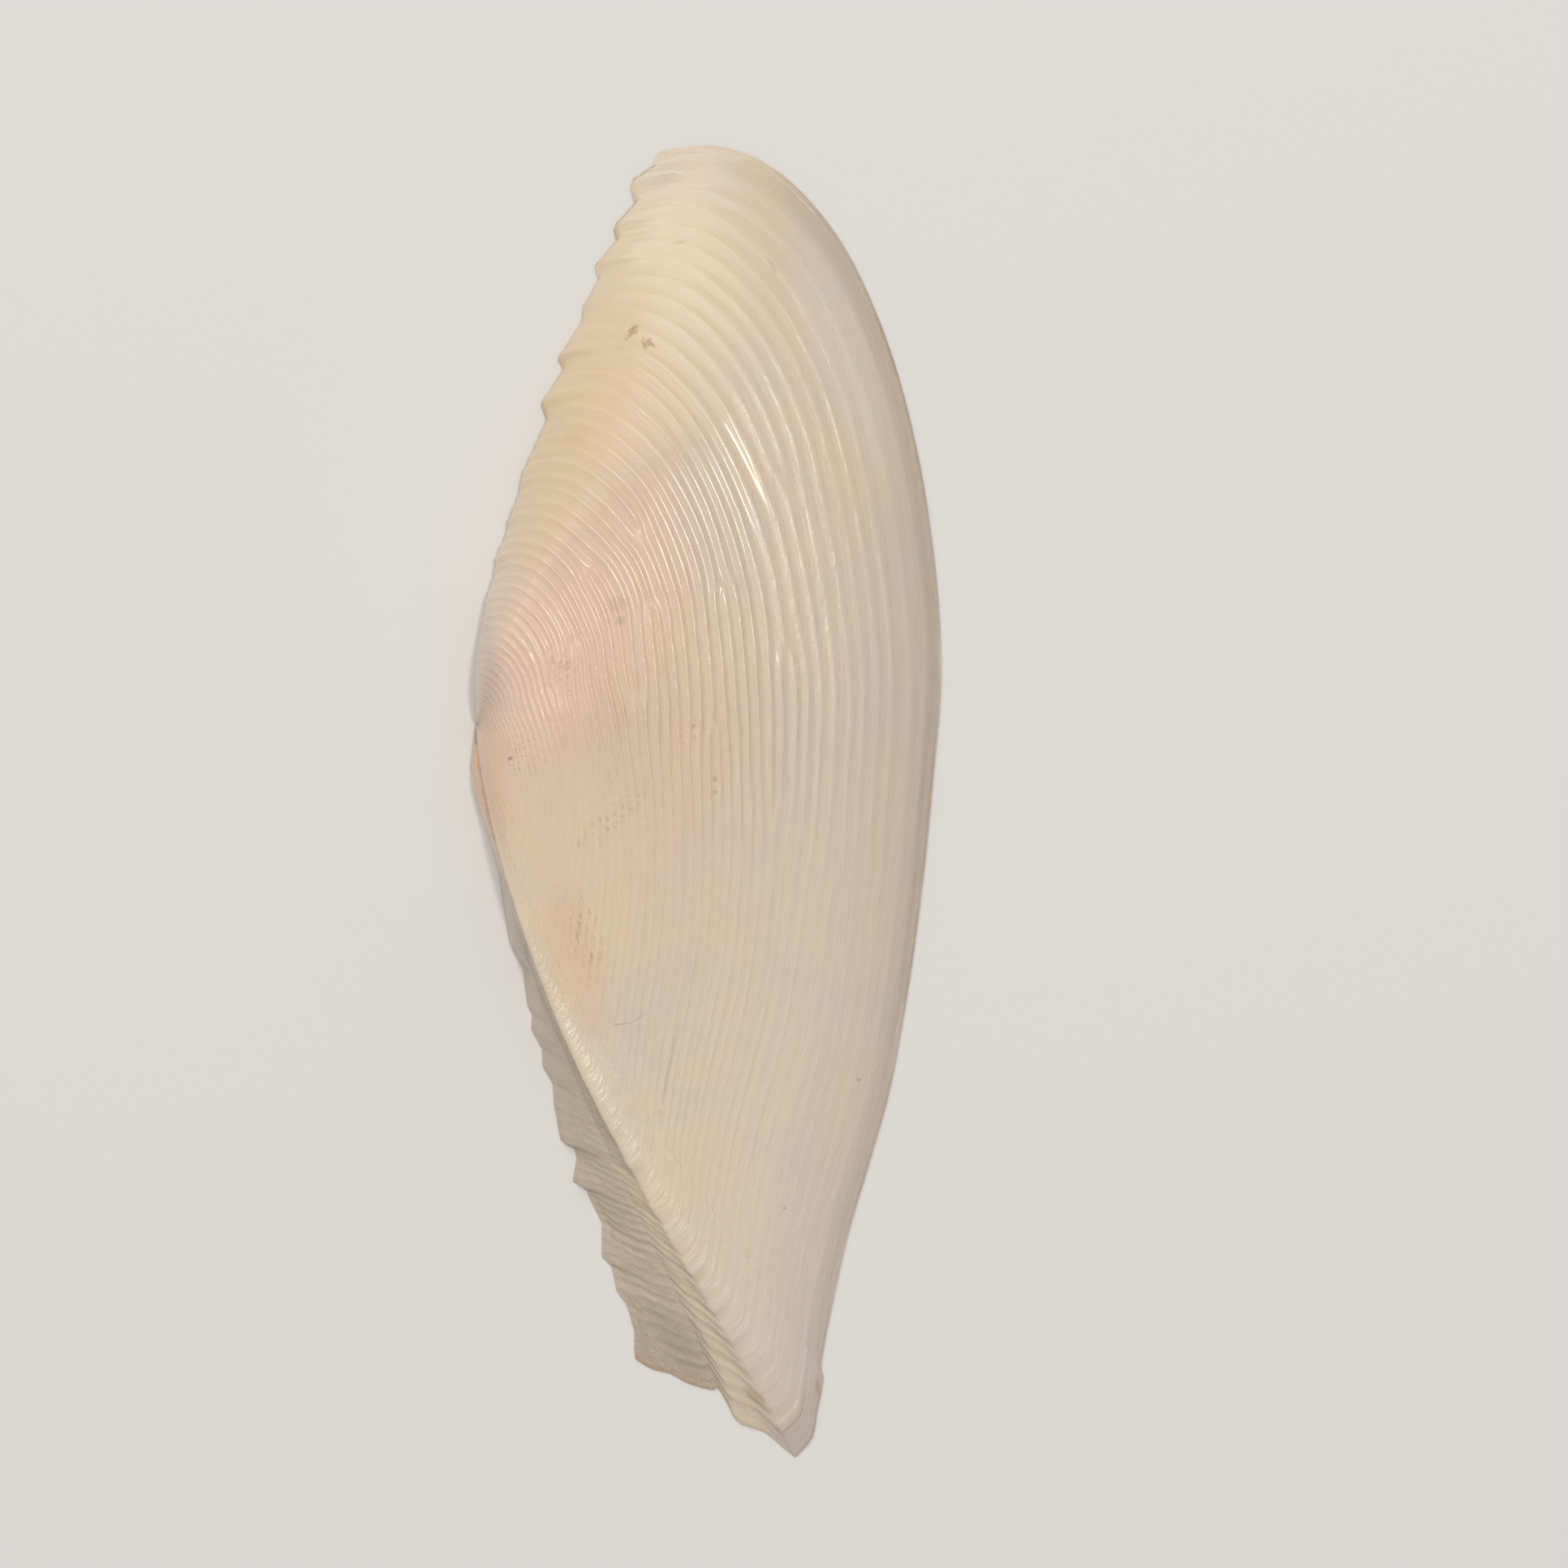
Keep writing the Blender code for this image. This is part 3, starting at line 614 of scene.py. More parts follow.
# Painted shade at the belly margin: from growth 46, and more from growth 52.
TO_MARGIN_SHADE = (46.0, 54.0)
MARGIN_SHADE_PART = 0.2
TO_THIN_MARGIN_SHADE = (52.0, 54.0)
THIN_MARGIN_SHADE_PART = 0.4
OFF_FRONT = (0.02, 0.14)
BELOW_BEAK = (-1.5, -6.0)
BEHIND_KEEL = (1.0, 1.12)
BEHIND_FURROW = (1.6, 2.25)
OLD_BAND = (30.0, 36.0)
YELLOW_PART = 0.7
GREY_AND_SHADE_PART = 0.78
LOW_SLOPE_SHADE_SPAN = (-27.0, -32.5)
LOW_SLOPE_SHADE_PART = 0.6
FINE_LINE_PART = 0.14
# Painted shade in the grooves and the creases.
GROOVE_SHADE_PART = 0.26
CREASE_SHADE_PART = 0.3
TIP_ACROSS = (0.955, 0.975)
TIP_ENDS = (1.5, 1.0)
TIP_LAYER = (52.66, 52.74)
TIP_LAYER_SHADOW = (52.86, 52.76)
TIP_PART = 0.7
LAYER_ENDS = (53.15, 53.5)
LAYER_ENDS_ACROSS = (1.85, 2.05)
EDGE_PART = 0.45
EDGE_LINE = (53.75, 53.98)
FRONT_LINE = (0.009, 0.001)
WORN = (0.45, 0.62)
WORN_AT_BACK = (1.9, 2.1)
SPECK_PART = 0.45


def put(tree, kind, inputs, **settings):
    """Adds a node, and links or sets its inputs by name or by number."""
    made = tree.nodes.new(kind)
    for name, value in settings.items():
        setattr(made, name, value)
    for name, value in inputs.items():
        if isinstance(value, bpy.types.NodeSocket):
            tree.links.new(value, made.inputs[name])
        else:
            made.inputs[name].default_value = value
    return made


def sum_up(tree, operation, a, b):
    """Result of a sum with two numbers."""
    return put(tree, "ShaderNodeMath", {0: a, 1: b}, operation=operation).outputs[0]


def soft_step(tree, value, start, end):
    """Smooth step of a value, from 0 at start to 1 at end."""
    inputs = {"Value": value, "From Min": start, "From Max": end}
    return put(tree, "ShaderNodeMapRange", inputs, interpolation_type="SMOOTHSTEP").outputs[0]


def blend_colour(tree, part, below, above):
    """One colour laid over another by a part from 0 to 1."""
    made = put(tree, "ShaderNodeMix", {0: part, 6: below, 7: above}, data_type="RGBA")
    return made.outputs[2]


def group_of(name, sockets_in, sockets_out):
    """An empty node group with the named sockets, and its two end nodes."""
    tree = bpy.data.node_groups.new(name, "ShaderNodeTree")
    for socket, kind in sockets_in.items():
        tree.interface.new_socket(socket, in_out="INPUT", socket_type=kind)
    for socket, kind in sockets_out.items():
        tree.interface.new_socket(socket, in_out="OUTPUT", socket_type=kind)
    return tree, tree.nodes.new("NodeGroupInput").outputs, tree.nodes.new("NodeGroupOutput").inputs


# Fine growth lines: noise drawn out along the growth lines, so many to a cord.
growth_lines, given, result = group_of(
    "growth lines",
    {"Growth": "NodeSocketFloat", "Station": "NodeSocketFloat", "To A Cord": "NodeSocketFloat",
     "Break": "NodeSocketFloat"},
    {"Lines": "NodeSocketFloat"})
over = sum_up(growth_lines, "MULTIPLY", given["Growth"], given["To A Cord"])
drawn = put(growth_lines, "ShaderNodeCombineXYZ", {
    "X": over, "Y": sum_up(growth_lines, "MULTIPLY", given["Station"], given["Break"])})
grain = put(growth_lines, "ShaderNodeTexNoise", {"Vector": drawn.outputs[0], "Scale": 1.0, "Detail": 3.0,
                                                 "Roughness": 0.6}, noise_dimensions="2D")
growth_lines.links.new(soft_step(growth_lines, grain.outputs["Fac"], 0.3, 0.7), result["Lines"])

# A ragged patch: an oval round a place, turned, with an edge broken up by noise.
patch, given, result = group_of(
    "patch", {"Place": "NodeSocketVector", "Middle": "NodeSocketVector", "Half Size": "NodeSocketVector",
              "Turn": "NodeSocketFloat", "Grain": "NodeSocketFloat", "Ragged": "NodeSocketFloat"},
    {"Mask": "NodeSocketFloat"})
away = put(patch, "ShaderNodeVectorMath", {0: given["Place"], 1: given["Middle"]}, operation="SUBTRACT")
away = put(patch, "ShaderNodeVectorRotate", {"Vector": away.outputs[0], "Angle": given["Turn"]},
           rotation_type="Z_AXIS")
away = put(patch, "ShaderNodeVectorMath", {0: away.outputs[0], 1: given["Half Size"]}, operation="DIVIDE")
away = put(patch, "ShaderNodeVectorMath", {0: away.outputs[0], 1: (1, 1, 0)}, operation="MULTIPLY")
away = put(patch, "ShaderNodeVectorMath", {0: away.outputs[0]}, operation="LENGTH")
grain = put(patch, "ShaderNodeTexNoise", {"Vector": given["Place"], "Scale": given["Grain"], "Detail": 4.0})
rough = sum_up(patch, "MULTIPLY", sum_up(patch, "SUBTRACT", grain.outputs["Fac"], 0.5), given["Ragged"])
off_middle_part = sum_up(patch, "ADD", away.outputs["Value"], rough)
patch.links.new(soft_step(patch, off_middle_part, 1.0, 0.25), result["Mask"])

# Dirt that has stayed in the grooves: short dark specks where a groove is deep.
grime, given, result = group_of(
    "grime", {"Growth": "NodeSocketFloat", "Station": "NodeSocketFloat", "Groove": "NodeSocketFloat",
              "Part": "NodeSocketFloat"}, {"Mask": "NodeSocketFloat"})
drawn = put(grime, "ShaderNodeCombineXYZ", {"X": sum_up(grime, "MULTIPLY", given["Growth"], 1.1),
                                            "Y": sum_up(grime, "MULTIPLY", given["Station"], 130.0)})
grain = put(grime, "ShaderNodeTexNoise", {"Vector": drawn.outputs[0], "Scale": 1.0, "Detail": 3.0},
            noise_dimensions="2D")
specks = soft_step(grime, grain.outputs["Fac"], 0.42, 0.72)
in_groove = soft_step(grime, given["Groove"], 0.4, 0.95)
specks = sum_up(grime, "MULTIPLY", specks, in_groove)
grime.links.new(sum_up(grime, "MULTIPLY", specks, given["Part"]), result["Mask"])


def use(tree, group, inputs):
    """Places a node group and returns its first output."""
    made = put(tree, "ShaderNodeGroup", {}, node_tree=group)
    for name, value in inputs.items():
        if isinstance(value, bpy.types.NodeSocket):
            tree.links.new(value, made.inputs[name])
        else:
            made.inputs[name].default_value = value
    return made.outputs[0]


def read(tree, name):
    """A value that the mesh carries at each place."""
    return put(tree, "ShaderNodeAttribute", {}, attribute_name=name).outputs["Fac"]


outside = bpy.data.materials.new("shell outside")
outside.use_nodes = True
tree = outside.node_tree
shader = tree.nodes["Principled BSDF"]
object_place = put(tree, "ShaderNodeTexCoord", {}).outputs["Object"]
place = put(tree, "ShaderNodeVectorMath", {0: object_place, "Scale": PER_METRE}, operation="SCALE").outputs[0]
growth, at, groove, bold, crease = (read(tree, name) for name in marks)
towards_front = put(tree, "ShaderNodeSeparateXYZ", {0: place}).outputs["Y"]


def oval(middle, half_size, turn=0.0, grain=0.4, ragged=0.5):
    """Mask of a ragged oval on the face being finished, in millimetres."""
    return use(tree, patch, {"Place": place, "Middle": (*middle, 0), "Half Size": (*half_size, 1),
                             "Turn": np.radians(turn), "Grain": grain, "Ragged": ragged})


# Ground colours, from the beak outwards.
cloud = put(tree, "ShaderNodeTexNoise", {"Vector": place, "Scale": 0.16, "Detail": 4.0}).outputs["Fac"]
colour = blend_colour(tree, soft_step(tree, cloud, 0.35, 0.65), IVORY, CREAM)
grounds = [
    (CREAM, 0.8, oval((-3.0, 27.0), (8.0, 12.0), 20)),
    (WARM_CREAM, 0.7, oval((-8.2, 20.0), (4.6, 14.0), 24, 0.3, 0.5)),
    (PEACH, 0.5, oval((-5.8, 3.4), (10.5, 17.0), -12, 0.25, 0.6)),
    (PEACH, 0.4, oval((-3.8, 20.5), (3.8, 7.0), 10, 0.4, 0.6)),
    (PINK, 0.8, oval((-8.6, 7.6), (5.4, 8.0), 10, 0.5, 0.5)),
    (PINK, 0.6, oval((-4.4, 12.6), (5.6, 8.6), 24, 0.4, 0.6)),
    # Partly the grey tint of the umbo's edge and partly painted shade where its flank turns away.
    (UMBO_GREY_AND_SHADE, 0.6, oval((-13.0, 8.6), (1.7, 5.4), -8, 0.5, 0.4)),
    (UMBO_PEACH, 0.6, oval((-12.6, 1.2), (2.6, 6.0), -5, 0.5, 0.5)),
    (UMBO_PEACH, 0.4, oval((-7.4, -8.8), (2.2, 6.5), -14, 0.5, 0.6)),
    (PEACH, 0.3, oval((4.9, 15.5), (1.5, 4.2), -8, 0.9, 0.8)),
    (PALE_LILAC, 0.6, oval((8.0, 26.0), (2.8, 11.0), -20, 0.4, 0.5)),
    (PEACH, 0.4, oval((0.2, 5.0), (2.4, 5.6), 0, 0.6, 0.9)),
    (GREEN_GREY, 0.07, oval((-1.8, -0.6), (3.4, 4.4), -20, 0.5, 0.9)),
    (GREEN_GREY, 0.3, oval((-9.4, -9.6), (1.6, 4.0), -18, 0.7, 0.6)),
    # Partly the shell's lilac and partly painted shade that darkens the lower belly side towards the tip.
    (LILAC_GREY, 0.6, oval((6.4, -31.0), (3.4, 9.0), -16, 0.5, 0.5)),
]
for tint, part, mask in grounds:
    colour = blend_colour(tree, sum_up(tree, "MULTIPLY", mask, part), colour, tint)

# Lilac grey towards the belly edge, in narrow bands along the growth lines. Painted shade darkens the belly
# margin, most at the thin margin.
broad_lines = use(tree, growth_lines, {"Growth": growth, "Station": at, "To A Cord": 1.1, "Break": 2.0})
to_edge = soft_step(tree, growth, *TO_LILAC)
on_back_half = soft_step(tree, at, *BACK_HALF)
lilac = sum_up(tree, "MULTIPLY", sum_up(tree, "MULTIPLY", to_edge, on_back_half),
               sum_up(tree, "ADD", sum_up(tree, "MULTIPLY", broad_lines, LILAC_PART), LILAC_PART))
colour = blend_colour(tree, lilac, colour, LILAC_GREY)
margin_shade = sum_up(tree, "MULTIPLY", soft_step(tree, growth, *TO_MARGIN_SHADE), MARGIN_SHADE_PART)
thin_margin_shade = sum_up(tree, "MULTIPLY", soft_step(tree, growth, *TO_THIN_MARGIN_SHADE), THIN_MARGIN_SHADE_PART)
margin_shade = sum_up(tree, "ADD", margin_shade, thin_margin_shade)
margin_shade = sum_up(tree, "MULTIPLY", margin_shade, soft_step(tree, at, *OFF_FRONT))
colour = blend_colour(tree, margin_shade, colour, MARGIN_SHADE_GREY)

# The slope: a yellowish band behind the keel, then an even beige grey, partly its own tone and partly painted
# shade where the slope faces away from the light.
below_beak = soft_step(tree, towards_front, *BELOW_BEAK)
behind_keel = sum_up(tree, "MULTIPLY", soft_step(tree, at, *BEHIND_KEEL), below_beak)
behind_furrow = sum_up(tree, "MULTIPLY", behind_keel, soft_step(tree, at, *BEHIND_FURROW))
old_band = soft_step(tree, growth, *OLD_BAND)
yellow_part = sum_up(tree, "MULTIPLY", behind_keel, sum_up(tree, "MULTIPLY", old_band, YELLOW_PART))
colour = blend_colour(tree, yellow_part, colour, BAND_YELLOW)
grey_and_shade_part = sum_up(tree, "MAXIMUM", behind_furrow, sum_up(tree, "SUBTRACT", behind_keel, old_band))
colour = blend_colour(tree, sum_up(tree, "MULTIPLY", grey_and_shade_part, GREY_AND_SHADE_PART), colour, SLOPE_GREY_AND_SHADE)
# Painted shade: the grey slope darkens towards its lower end.
low_slope_shade = sum_up(tree, "MULTIPLY", behind_furrow, soft_step(tree, towards_front, *LOW_SLOPE_SHADE_SPAN))
colour = blend_colour(tree, sum_up(tree, "MULTIPLY", low_slope_shade, LOW_SLOPE_SHADE_PART), colour, LOW_SLOPE_SHADE_GREY)

# Fine lines, and painted shade in the grooves between the cords and in the creases of the pauses.
fine_lines = use(tree, growth_lines, {"Growth": growth, "Station": at, "To A Cord": 2.2, "Break": 7.0})
colour = blend_colour(tree, sum_up(tree, "MULTIPLY", fine_lines, FINE_LINE_PART), colour, LILAC_GREY)
shaded = sum_up(tree, "MULTIPLY", sum_up(tree, "MULTIPLY", groove, bold), GROOVE_SHADE_PART)
colour = blend_colour(tree, shaded, colour, GROOVE_BROWN)
colour = blend_colour(tree, sum_up(tree, "MULTIPLY", crease, CREASE_SHADE_PART), colour, GROOVE_BROWN)

# The last layer at the tip with a painted shadow line along its step, and a brown line of worn skin along
# parts of the very edge.
near_tip = sum_up(tree, "MULTIPLY", soft_step(tree, at, *TIP_ACROSS), soft_step(tree, at, *TIP_ENDS))
last_layer = sum_up(tree, "MULTIPLY", soft_step(tree, growth, *TIP_LAYER), near_tip)
colour = blend_colour(tree, sum_up(tree, "MULTIPLY", last_layer, TIP_PART), colour, TIP_GREY)
# Painted shadow: a brown line just beyond the last layer's step.
layer_step_shadow = sum_up(tree, "MULTIPLY", last_layer, soft_step(tree, growth, *TIP_LAYER_SHADOW))
colour = blend_colour(tree, sum_up(tree, "MULTIPLY", layer_step_shadow, TIP_PART), colour, GROOVE_BROWN)
across_ends = soft_step(tree, at, *LAYER_ENDS_ACROSS)
layer_ends = sum_up(tree, "MULTIPLY", soft_step(tree, growth, *LAYER_ENDS), across_ends)
layer_ends = sum_up(tree, "MULTIPLY", layer_ends, sum_up(tree, "ADD", broad_lines, 0.4))
colour = blend_colour(tree, sum_up(tree, "MULTIPLY", layer_ends, EDGE_PART), colour, GROOVE_BROWN)
edge_noise = put(tree, "ShaderNodeTexNoise", {"Vector": place, "Scale": 0.12, "Detail": 6.0}).outputs["Fac"]
edge_line = sum_up(tree, "MAXIMUM", soft_step(tree, growth, *EDGE_LINE), soft_step(tree, at, *FRONT_LINE))
worn = sum_up(tree, "MAXIMUM", soft_step(tree, edge_noise, *WORN), soft_step(tree, at, *WORN_AT_BACK))
edge_line = sum_up(tree, "MULTIPLY", edge_line, worn)
colour = blend_colour(tree, sum_up(tree, "MULTIPLY", edge_line, EDGE_PART), colour, EDGE_BROWN)

# Marks: brown spots, a yellow stain, a scratch, and dirt in the grooves in a few places.
marks_on_shell = [
    (SKIN_BROWN, 0.5, oval((-4.2, 26.7), (0.3, 0.55), 40, 3.2, 2.4)),
    (SKIN_BROWN, 0.55, oval((-3.2, 26.0), (0.5, 0.36), 30, 3.2, 2.4)),
    (GROOVE_BROWN, 0.4, oval((3.8, 30.5), (0.16, 0.7), -34, 2.0, 1.4)),
    (GROOVE_BROWN, 0.3, oval((-1.4, 31.9), (0.8, 0.2), -14, 2.0, 1.4)),
    (STAIN_YELLOW, 0.35, oval((-7.4, 20.6), (1.5, 0.9), -40, 0.8, 0.8)),
    (GROOVE_BROWN, 0.3, oval((-4.9, 11.2), (0.8, 0.6), 0, 1.8, 1.4)),
    (GROOVE_BROWN, 0.4, oval((-4.8, 10.2), (0.5, 0.4), 0, 1.8, 1.4)),
    (SKIN_BROWN, 0.35, oval((2.9, -34.1), (1.3, 0.35), 40, 1.8, 1.0)),
    (SKIN_BROWN, 0.3, oval((6.4, -33.55), (0.2, 0.8), -10, 1.8, 1.0)),
    (DIRT, 0.7, oval((-11.05, 2.44), (0.2, 0.14), 0, 2.0, 0.5)),
    (DIRT, 0.45, oval((8.73, -15.9), (0.16, 0.14), 0, 2.0, 0.5)),
    (DIRT, 0.45, oval((4.5, -23.2), (0.16, 0.12), 30, 2.0, 0.5)),
    (GROOVE_BROWN, 0.55, oval((-4.7, -12.62), (0.75, 0.07), -8, 1.2, 0.8)),
    (GROOVE_BROWN, 0.5, oval((-3.75, -12.25), (0.6, 0.06), -32, 1.2, 0.8)),
    (GREEN_GREY, 0.45, oval((-2.1, -15.3), (0.14, 3.4), 12, 2.4, 2.2)),
]
for tint, part, mask in marks_on_shell:
    colour = blend_colour(tree, sum_up(tree, "MULTIPLY", mask, part), colour, tint)
dirty = oval((-8.0, 7.4), (0.9, 1.9), -20, 0.8, 0.6)
for middle, half_size, turn in [((-5.2, -0.9), (0.9, 3.8), 48), ((-6.8, -7.9), (1.5, 3.2), -10),
                                ((-10.2, 2.6), (1.6, 1.8), 0), ((0.6, 0.9), (0.6, 1.2), 0),
                                ((-0.8, 4.0), (1.0, 1.0), 0)]:
    dirty = sum_up(tree, "MAXIMUM", dirty, oval(middle, half_size, turn, 0.8, 0.6))
specks = use(tree, grime, {"Growth": growth, "Station": at, "Groove": groove, "Part": dirty})
colour = blend_colour(tree, sum_up(tree, "MULTIPLY", specks, SPECK_PART), colour, DIRT)
tree.links.new(colour, shader.inputs["Base Color"])

# Gloss on the crests, satin in the grooves.
CREST_ROUGHNESS = 0.2
GROOVE_ROUGHNESS = 0.3
HAZE_ROUGHNESS = 0.1
SPECK_ROUGHNESS = 0.3
haze = put(tree, "ShaderNodeTexNoise", {"Vector": place, "Scale": 2.2, "Detail": 5.0}).outputs["Fac"]
rougher = sum_up(tree, "MULTIPLY", sum_up(tree, "MULTIPLY", groove, bold), GROOVE_ROUGHNESS)
roughness = sum_up(tree, "ADD", CREST_ROUGHNESS, rougher)
roughness = sum_up(tree, "ADD", roughness, sum_up(tree, "MULTIPLY", haze, HAZE_ROUGHNESS))
roughness = sum_up(tree, "ADD", roughness, sum_up(tree, "MULTIPLY", specks, SPECK_ROUGHNESS))
tree.links.new(roughness, shader.inputs["Roughness"])
shader.inputs["Coat Weight"].default_value = 0.3
shader.inputs["Coat Roughness"].default_value = 0.12

# Low relief: fine growth lines over the cords, and a slightly pitted skin.
LOW_RELIEF = 0.022
LINE_RELIEF = 0.7
PIT_RELIEF = 0.35
CREST_RELIEF = 1.5
pits = put(tree, "ShaderNodeTexNoise", {"Vector": place, "Scale": 5.0, "Detail": 3.0}).outputs["Fac"]
thin_crest = sum_up(tree, "MULTIPLY", bold, CREST_RELIEF)
thin_crest = sum_up(tree, "MULTIPLY", soft_step(tree, groove, 0.5, 0.0), thin_crest)
broken_lines = use(tree, growth_lines, {"Growth": growth, "Station": at, "To A Cord": 2.0, "Break": 38.0})
low_relief = sum_up(tree, "MULTIPLY", fine_lines, LINE_RELIEF)
low_relief = sum_up(tree, "ADD", low_relief, sum_up(tree, "MULTIPLY", pits, PIT_RELIEF))
low_relief = sum_up(tree, "ADD", low_relief, sum_up(tree, "MULTIPLY", broken_lines, LINE_RELIEF))
low_relief = sum_up(tree, "ADD", low_relief, thin_crest)
bump = put(tree, "ShaderNodeBump", {"Height": low_relief, "Distance": LOW_RELIEF * MM, "Strength": 1.0})
tree.links.new(bump.outputs[0], shader.inputs["Normal"])
mesh.materials.append(outside)

# The rim: the cut ends of the layers, ivory and tan, satin.
TAN = (0.60, 0.44, 0.30, 1)
LAYERS_TO_A_MM = 9.0
TAN_PART = 0.6
RIM_RELIEF = 0.02
rim_finish = bpy.data.materials.new("shell rim")
rim_finish.use_nodes = True
tree = rim_finish.node_tree
shader = tree.nodes["Principled BSDF"]
across_rim = sum_up(tree, "MULTIPLY", read(tree, "inside"), LAYERS_TO_A_MM)
ends = use(tree, growth_lines, {"Growth": across_rim, "Station": read(tree, "growth"), "To A Cord": 1.0,
                                "Break": 0.4})
colour = blend_colour(tree, sum_up(tree, "MULTIPLY", ends, TAN_PART), IVORY, TAN)
tree.links.new(colour, shader.inputs["Base Color"])
tree.links.new(sum_up(tree, "ADD", sum_up(tree, "MULTIPLY", ends, 0.2), 0.4), shader.inputs["Roughness"])
bump = put(tree, "ShaderNodeBump", {"Height": ends, "Distance": RIM_RELIEF * MM, "Strength": 1.0})
tree.links.new(bump.outputs[0], shader.inputs["Normal"])
mesh.materials.append(rim_finish)

# The inside: porcelain, flushed peach in the middle, with two muscle scars and the mantle's line.
PORCELAIN = (0.86, 0.79, 0.70, 1)
FLUSH = (0.88, 0.62, 0.43, 1)
SCAR = (0.74, 0.66, 0.57, 1)
MANTLE_LINE_INSET = 3.3
MANTLE_LINE_HALF_WIDTH = 0.22
MANTLE_LINE_PART = 0.6
FLUSH_PART = 0.6
RING_PART = 0.12
DULL_PART = 0.5
INSIDE_RELIEF = 0.03
inside_finish = bpy.data.materials.new("shell inside")
inside_finish.use_nodes = True
tree = inside_finish.node_tree
shader = tree.nodes["Principled BSDF"]
object_place = put(tree, "ShaderNodeTexCoord", {}).outputs["Object"]
place = put(tree, "ShaderNodeVectorMath", {0: object_place, "Scale": PER_METRE}, operation="SCALE").outputs[0]
depth = read(tree, "inside")
flush = oval((-2.5, 4.0), (11.0, 22.0), -8, 0.15, 0.5)
colour = blend_colour(tree, sum_up(tree, "MULTIPLY", flush, FLUSH_PART), PORCELAIN, FLUSH)
rings = use(tree, growth_lines, {"Growth": depth, "Station": read(tree, "station"), "To A Cord": 1.6,
                                 "Break": 1.5})
colour = blend_colour(tree, sum_up(tree, "MULTIPLY", rings, RING_PART), colour, SCAR)
scars = sum_up(tree, "MAXIMUM", oval((-2.2, 23.5), (2.4, 5.6), 14, 0.6, 0.3),
               oval((-4.4, -12.5), (2.2, 4.2), -20, 0.6, 0.3))
scars = soft_step(tree, scars, 0.25, 0.4)
on_line = put(tree, "ShaderNodeMath", {0: depth, 1: MANTLE_LINE_INSET, 2: MANTLE_LINE_HALF_WIDTH},
              operation="COMPARE")
mantle_line = sum_up(tree, "MULTIPLY", on_line.outputs[0], MANTLE_LINE_PART)
sinus = oval((1.2, 0.5), (4.6, 15.0), 6, 0.4, 0.15)
sinus = sum_up(tree, "MULTIPLY", soft_step(tree, sinus, 0.2, 0.28), soft_step(tree, sinus, 0.42, 0.34))
dull = sum_up(tree, "MAXIMUM", scars, mantle_line)
dull = sum_up(tree, "MAXIMUM", dull, sum_up(tree, "MULTIPLY", sinus, MANTLE_LINE_PART))
colour = blend_colour(tree, sum_up(tree, "MULTIPLY", dull, DULL_PART), colour, SCAR)
tree.links.new(colour, shader.inputs["Base Color"])
tree.links.new(sum_up(tree, "ADD", sum_up(tree, "MULTIPLY", dull, 0.18), 0.2), shader.inputs["Roughness"])
shader.inputs["Coat Weight"].default_value = 0.4
shader.inputs["Coat Roughness"].default_value = 0.08
low_relief = sum_up(tree, "SUBTRACT", sum_up(tree, "MULTIPLY", rings, 0.3), dull)
bump = put(tree, "ShaderNodeBump", {"Height": low_relief, "Distance": INSIDE_RELIEF * MM, "Strength": 1.0})
tree.links.new(bump.outputs[0], shader.inputs["Normal"])
mesh.materials.append(inside_finish)

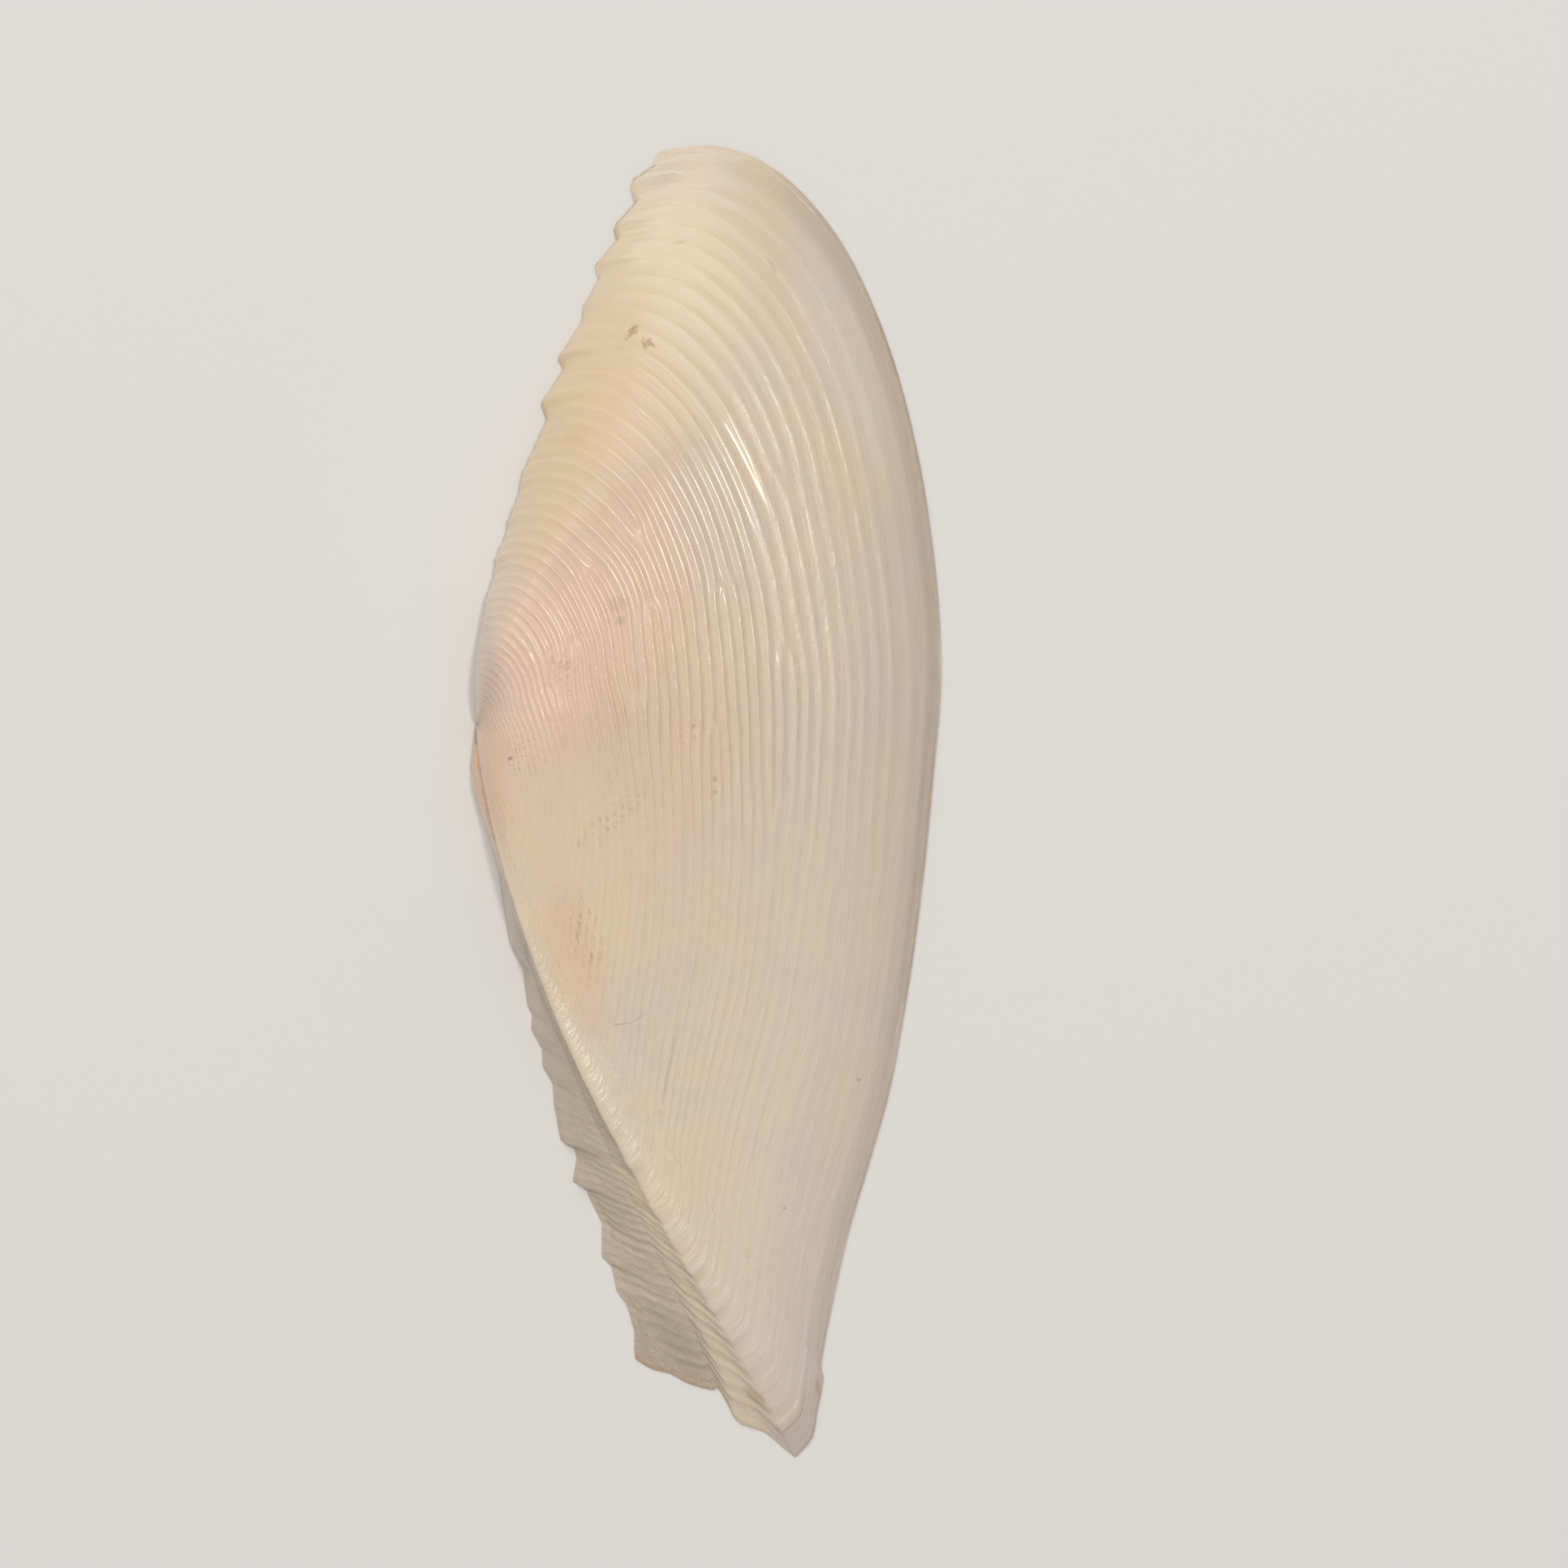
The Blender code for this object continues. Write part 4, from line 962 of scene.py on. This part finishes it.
# ---------------------------------------------------------------------------------------------------------
# The floor, the lights and the camera: a plain pale floor, a small light high over the belly side for the
# glints, a large soft one at the front end, soft fill from all round, and a camera straight above.
# ---------------------------------------------------------------------------------------------------------
FLOOR_COLOUR = (0.82, 0.81, 0.79, 1)
FLOOR_SIZE = 1.2
VIEW_WIDTH = 89.72
VIEW_MIDDLE = (4.46, 1.0)
LENS = 180.0
SENSOR = 36.0
ROOM_COLOUR = (0.95, 0.96, 1.0, 1)
ROOM_LIGHT = 0.45

floor_mesh = bpy.data.meshes.new("floor")
floor_grid = bmesh.new()
bmesh.ops.create_grid(floor_grid, x_segments=1, y_segments=1, size=FLOOR_SIZE / 2)
floor_grid.to_mesh(floor_mesh)
floor_grid.free()
floor = bpy.data.objects.new("floor", floor_mesh)
bpy.context.scene.collection.objects.link(floor)
floor_finish = bpy.data.materials.new("floor")
floor_finish.use_nodes = True
floor_shader = floor_finish.node_tree.nodes["Principled BSDF"]
floor_shader.inputs["Base Color"].default_value = FLOOR_COLOUR
floor_shader.inputs["Roughness"].default_value = 0.9
floor_mesh.materials.append(floor_finish)


def lamp(name, azimuth, elevation, distance, size, power, colour):
    """A square soft light that looks at the valve from an angle round it and an angle above the floor."""
    data = bpy.data.lights.new(name, "AREA")
    data.shape = "SQUARE"
    data.size = size
    data.energy = power
    data.color = colour
    made = bpy.data.objects.new(name, data)
    turn = Matrix.Rotation(np.radians(azimuth), 3, "Z") @ Matrix.Rotation(np.radians(-elevation), 3, "Y")
    made.location = turn @ Vector((distance, 0, 0))
    made.rotation_euler = made.location.to_track_quat("Z", "Y").to_euler()
    bpy.context.scene.collection.objects.link(made)


lamp("spark", 34, 76, 0.9, 0.065, 1.8, (1.0, 0.94, 0.82))
lamp("window", 124, 54, 1.0, 0.8, 3.4, (1.0, 0.97, 0.92))

world = bpy.data.worlds.new("room")
world.use_nodes = True
world.node_tree.nodes["Background"].inputs["Color"].default_value = ROOM_COLOUR
world.node_tree.nodes["Background"].inputs["Strength"].default_value = ROOM_LIGHT
bpy.context.scene.world = world
bpy.context.scene.view_settings.view_transform = "Standard"

camera_data = bpy.data.cameras.new("camera")
camera_data.lens = LENS
camera_data.sensor_width = SENSOR
camera_data.clip_start = 0.01
camera = bpy.data.objects.new("camera", camera_data)
camera.location = (VIEW_MIDDLE[0] * MM, VIEW_MIDDLE[1] * MM, VIEW_WIDTH * MM * LENS / SENSOR)
bpy.context.scene.collection.objects.link(camera)
bpy.context.scene.camera = camera
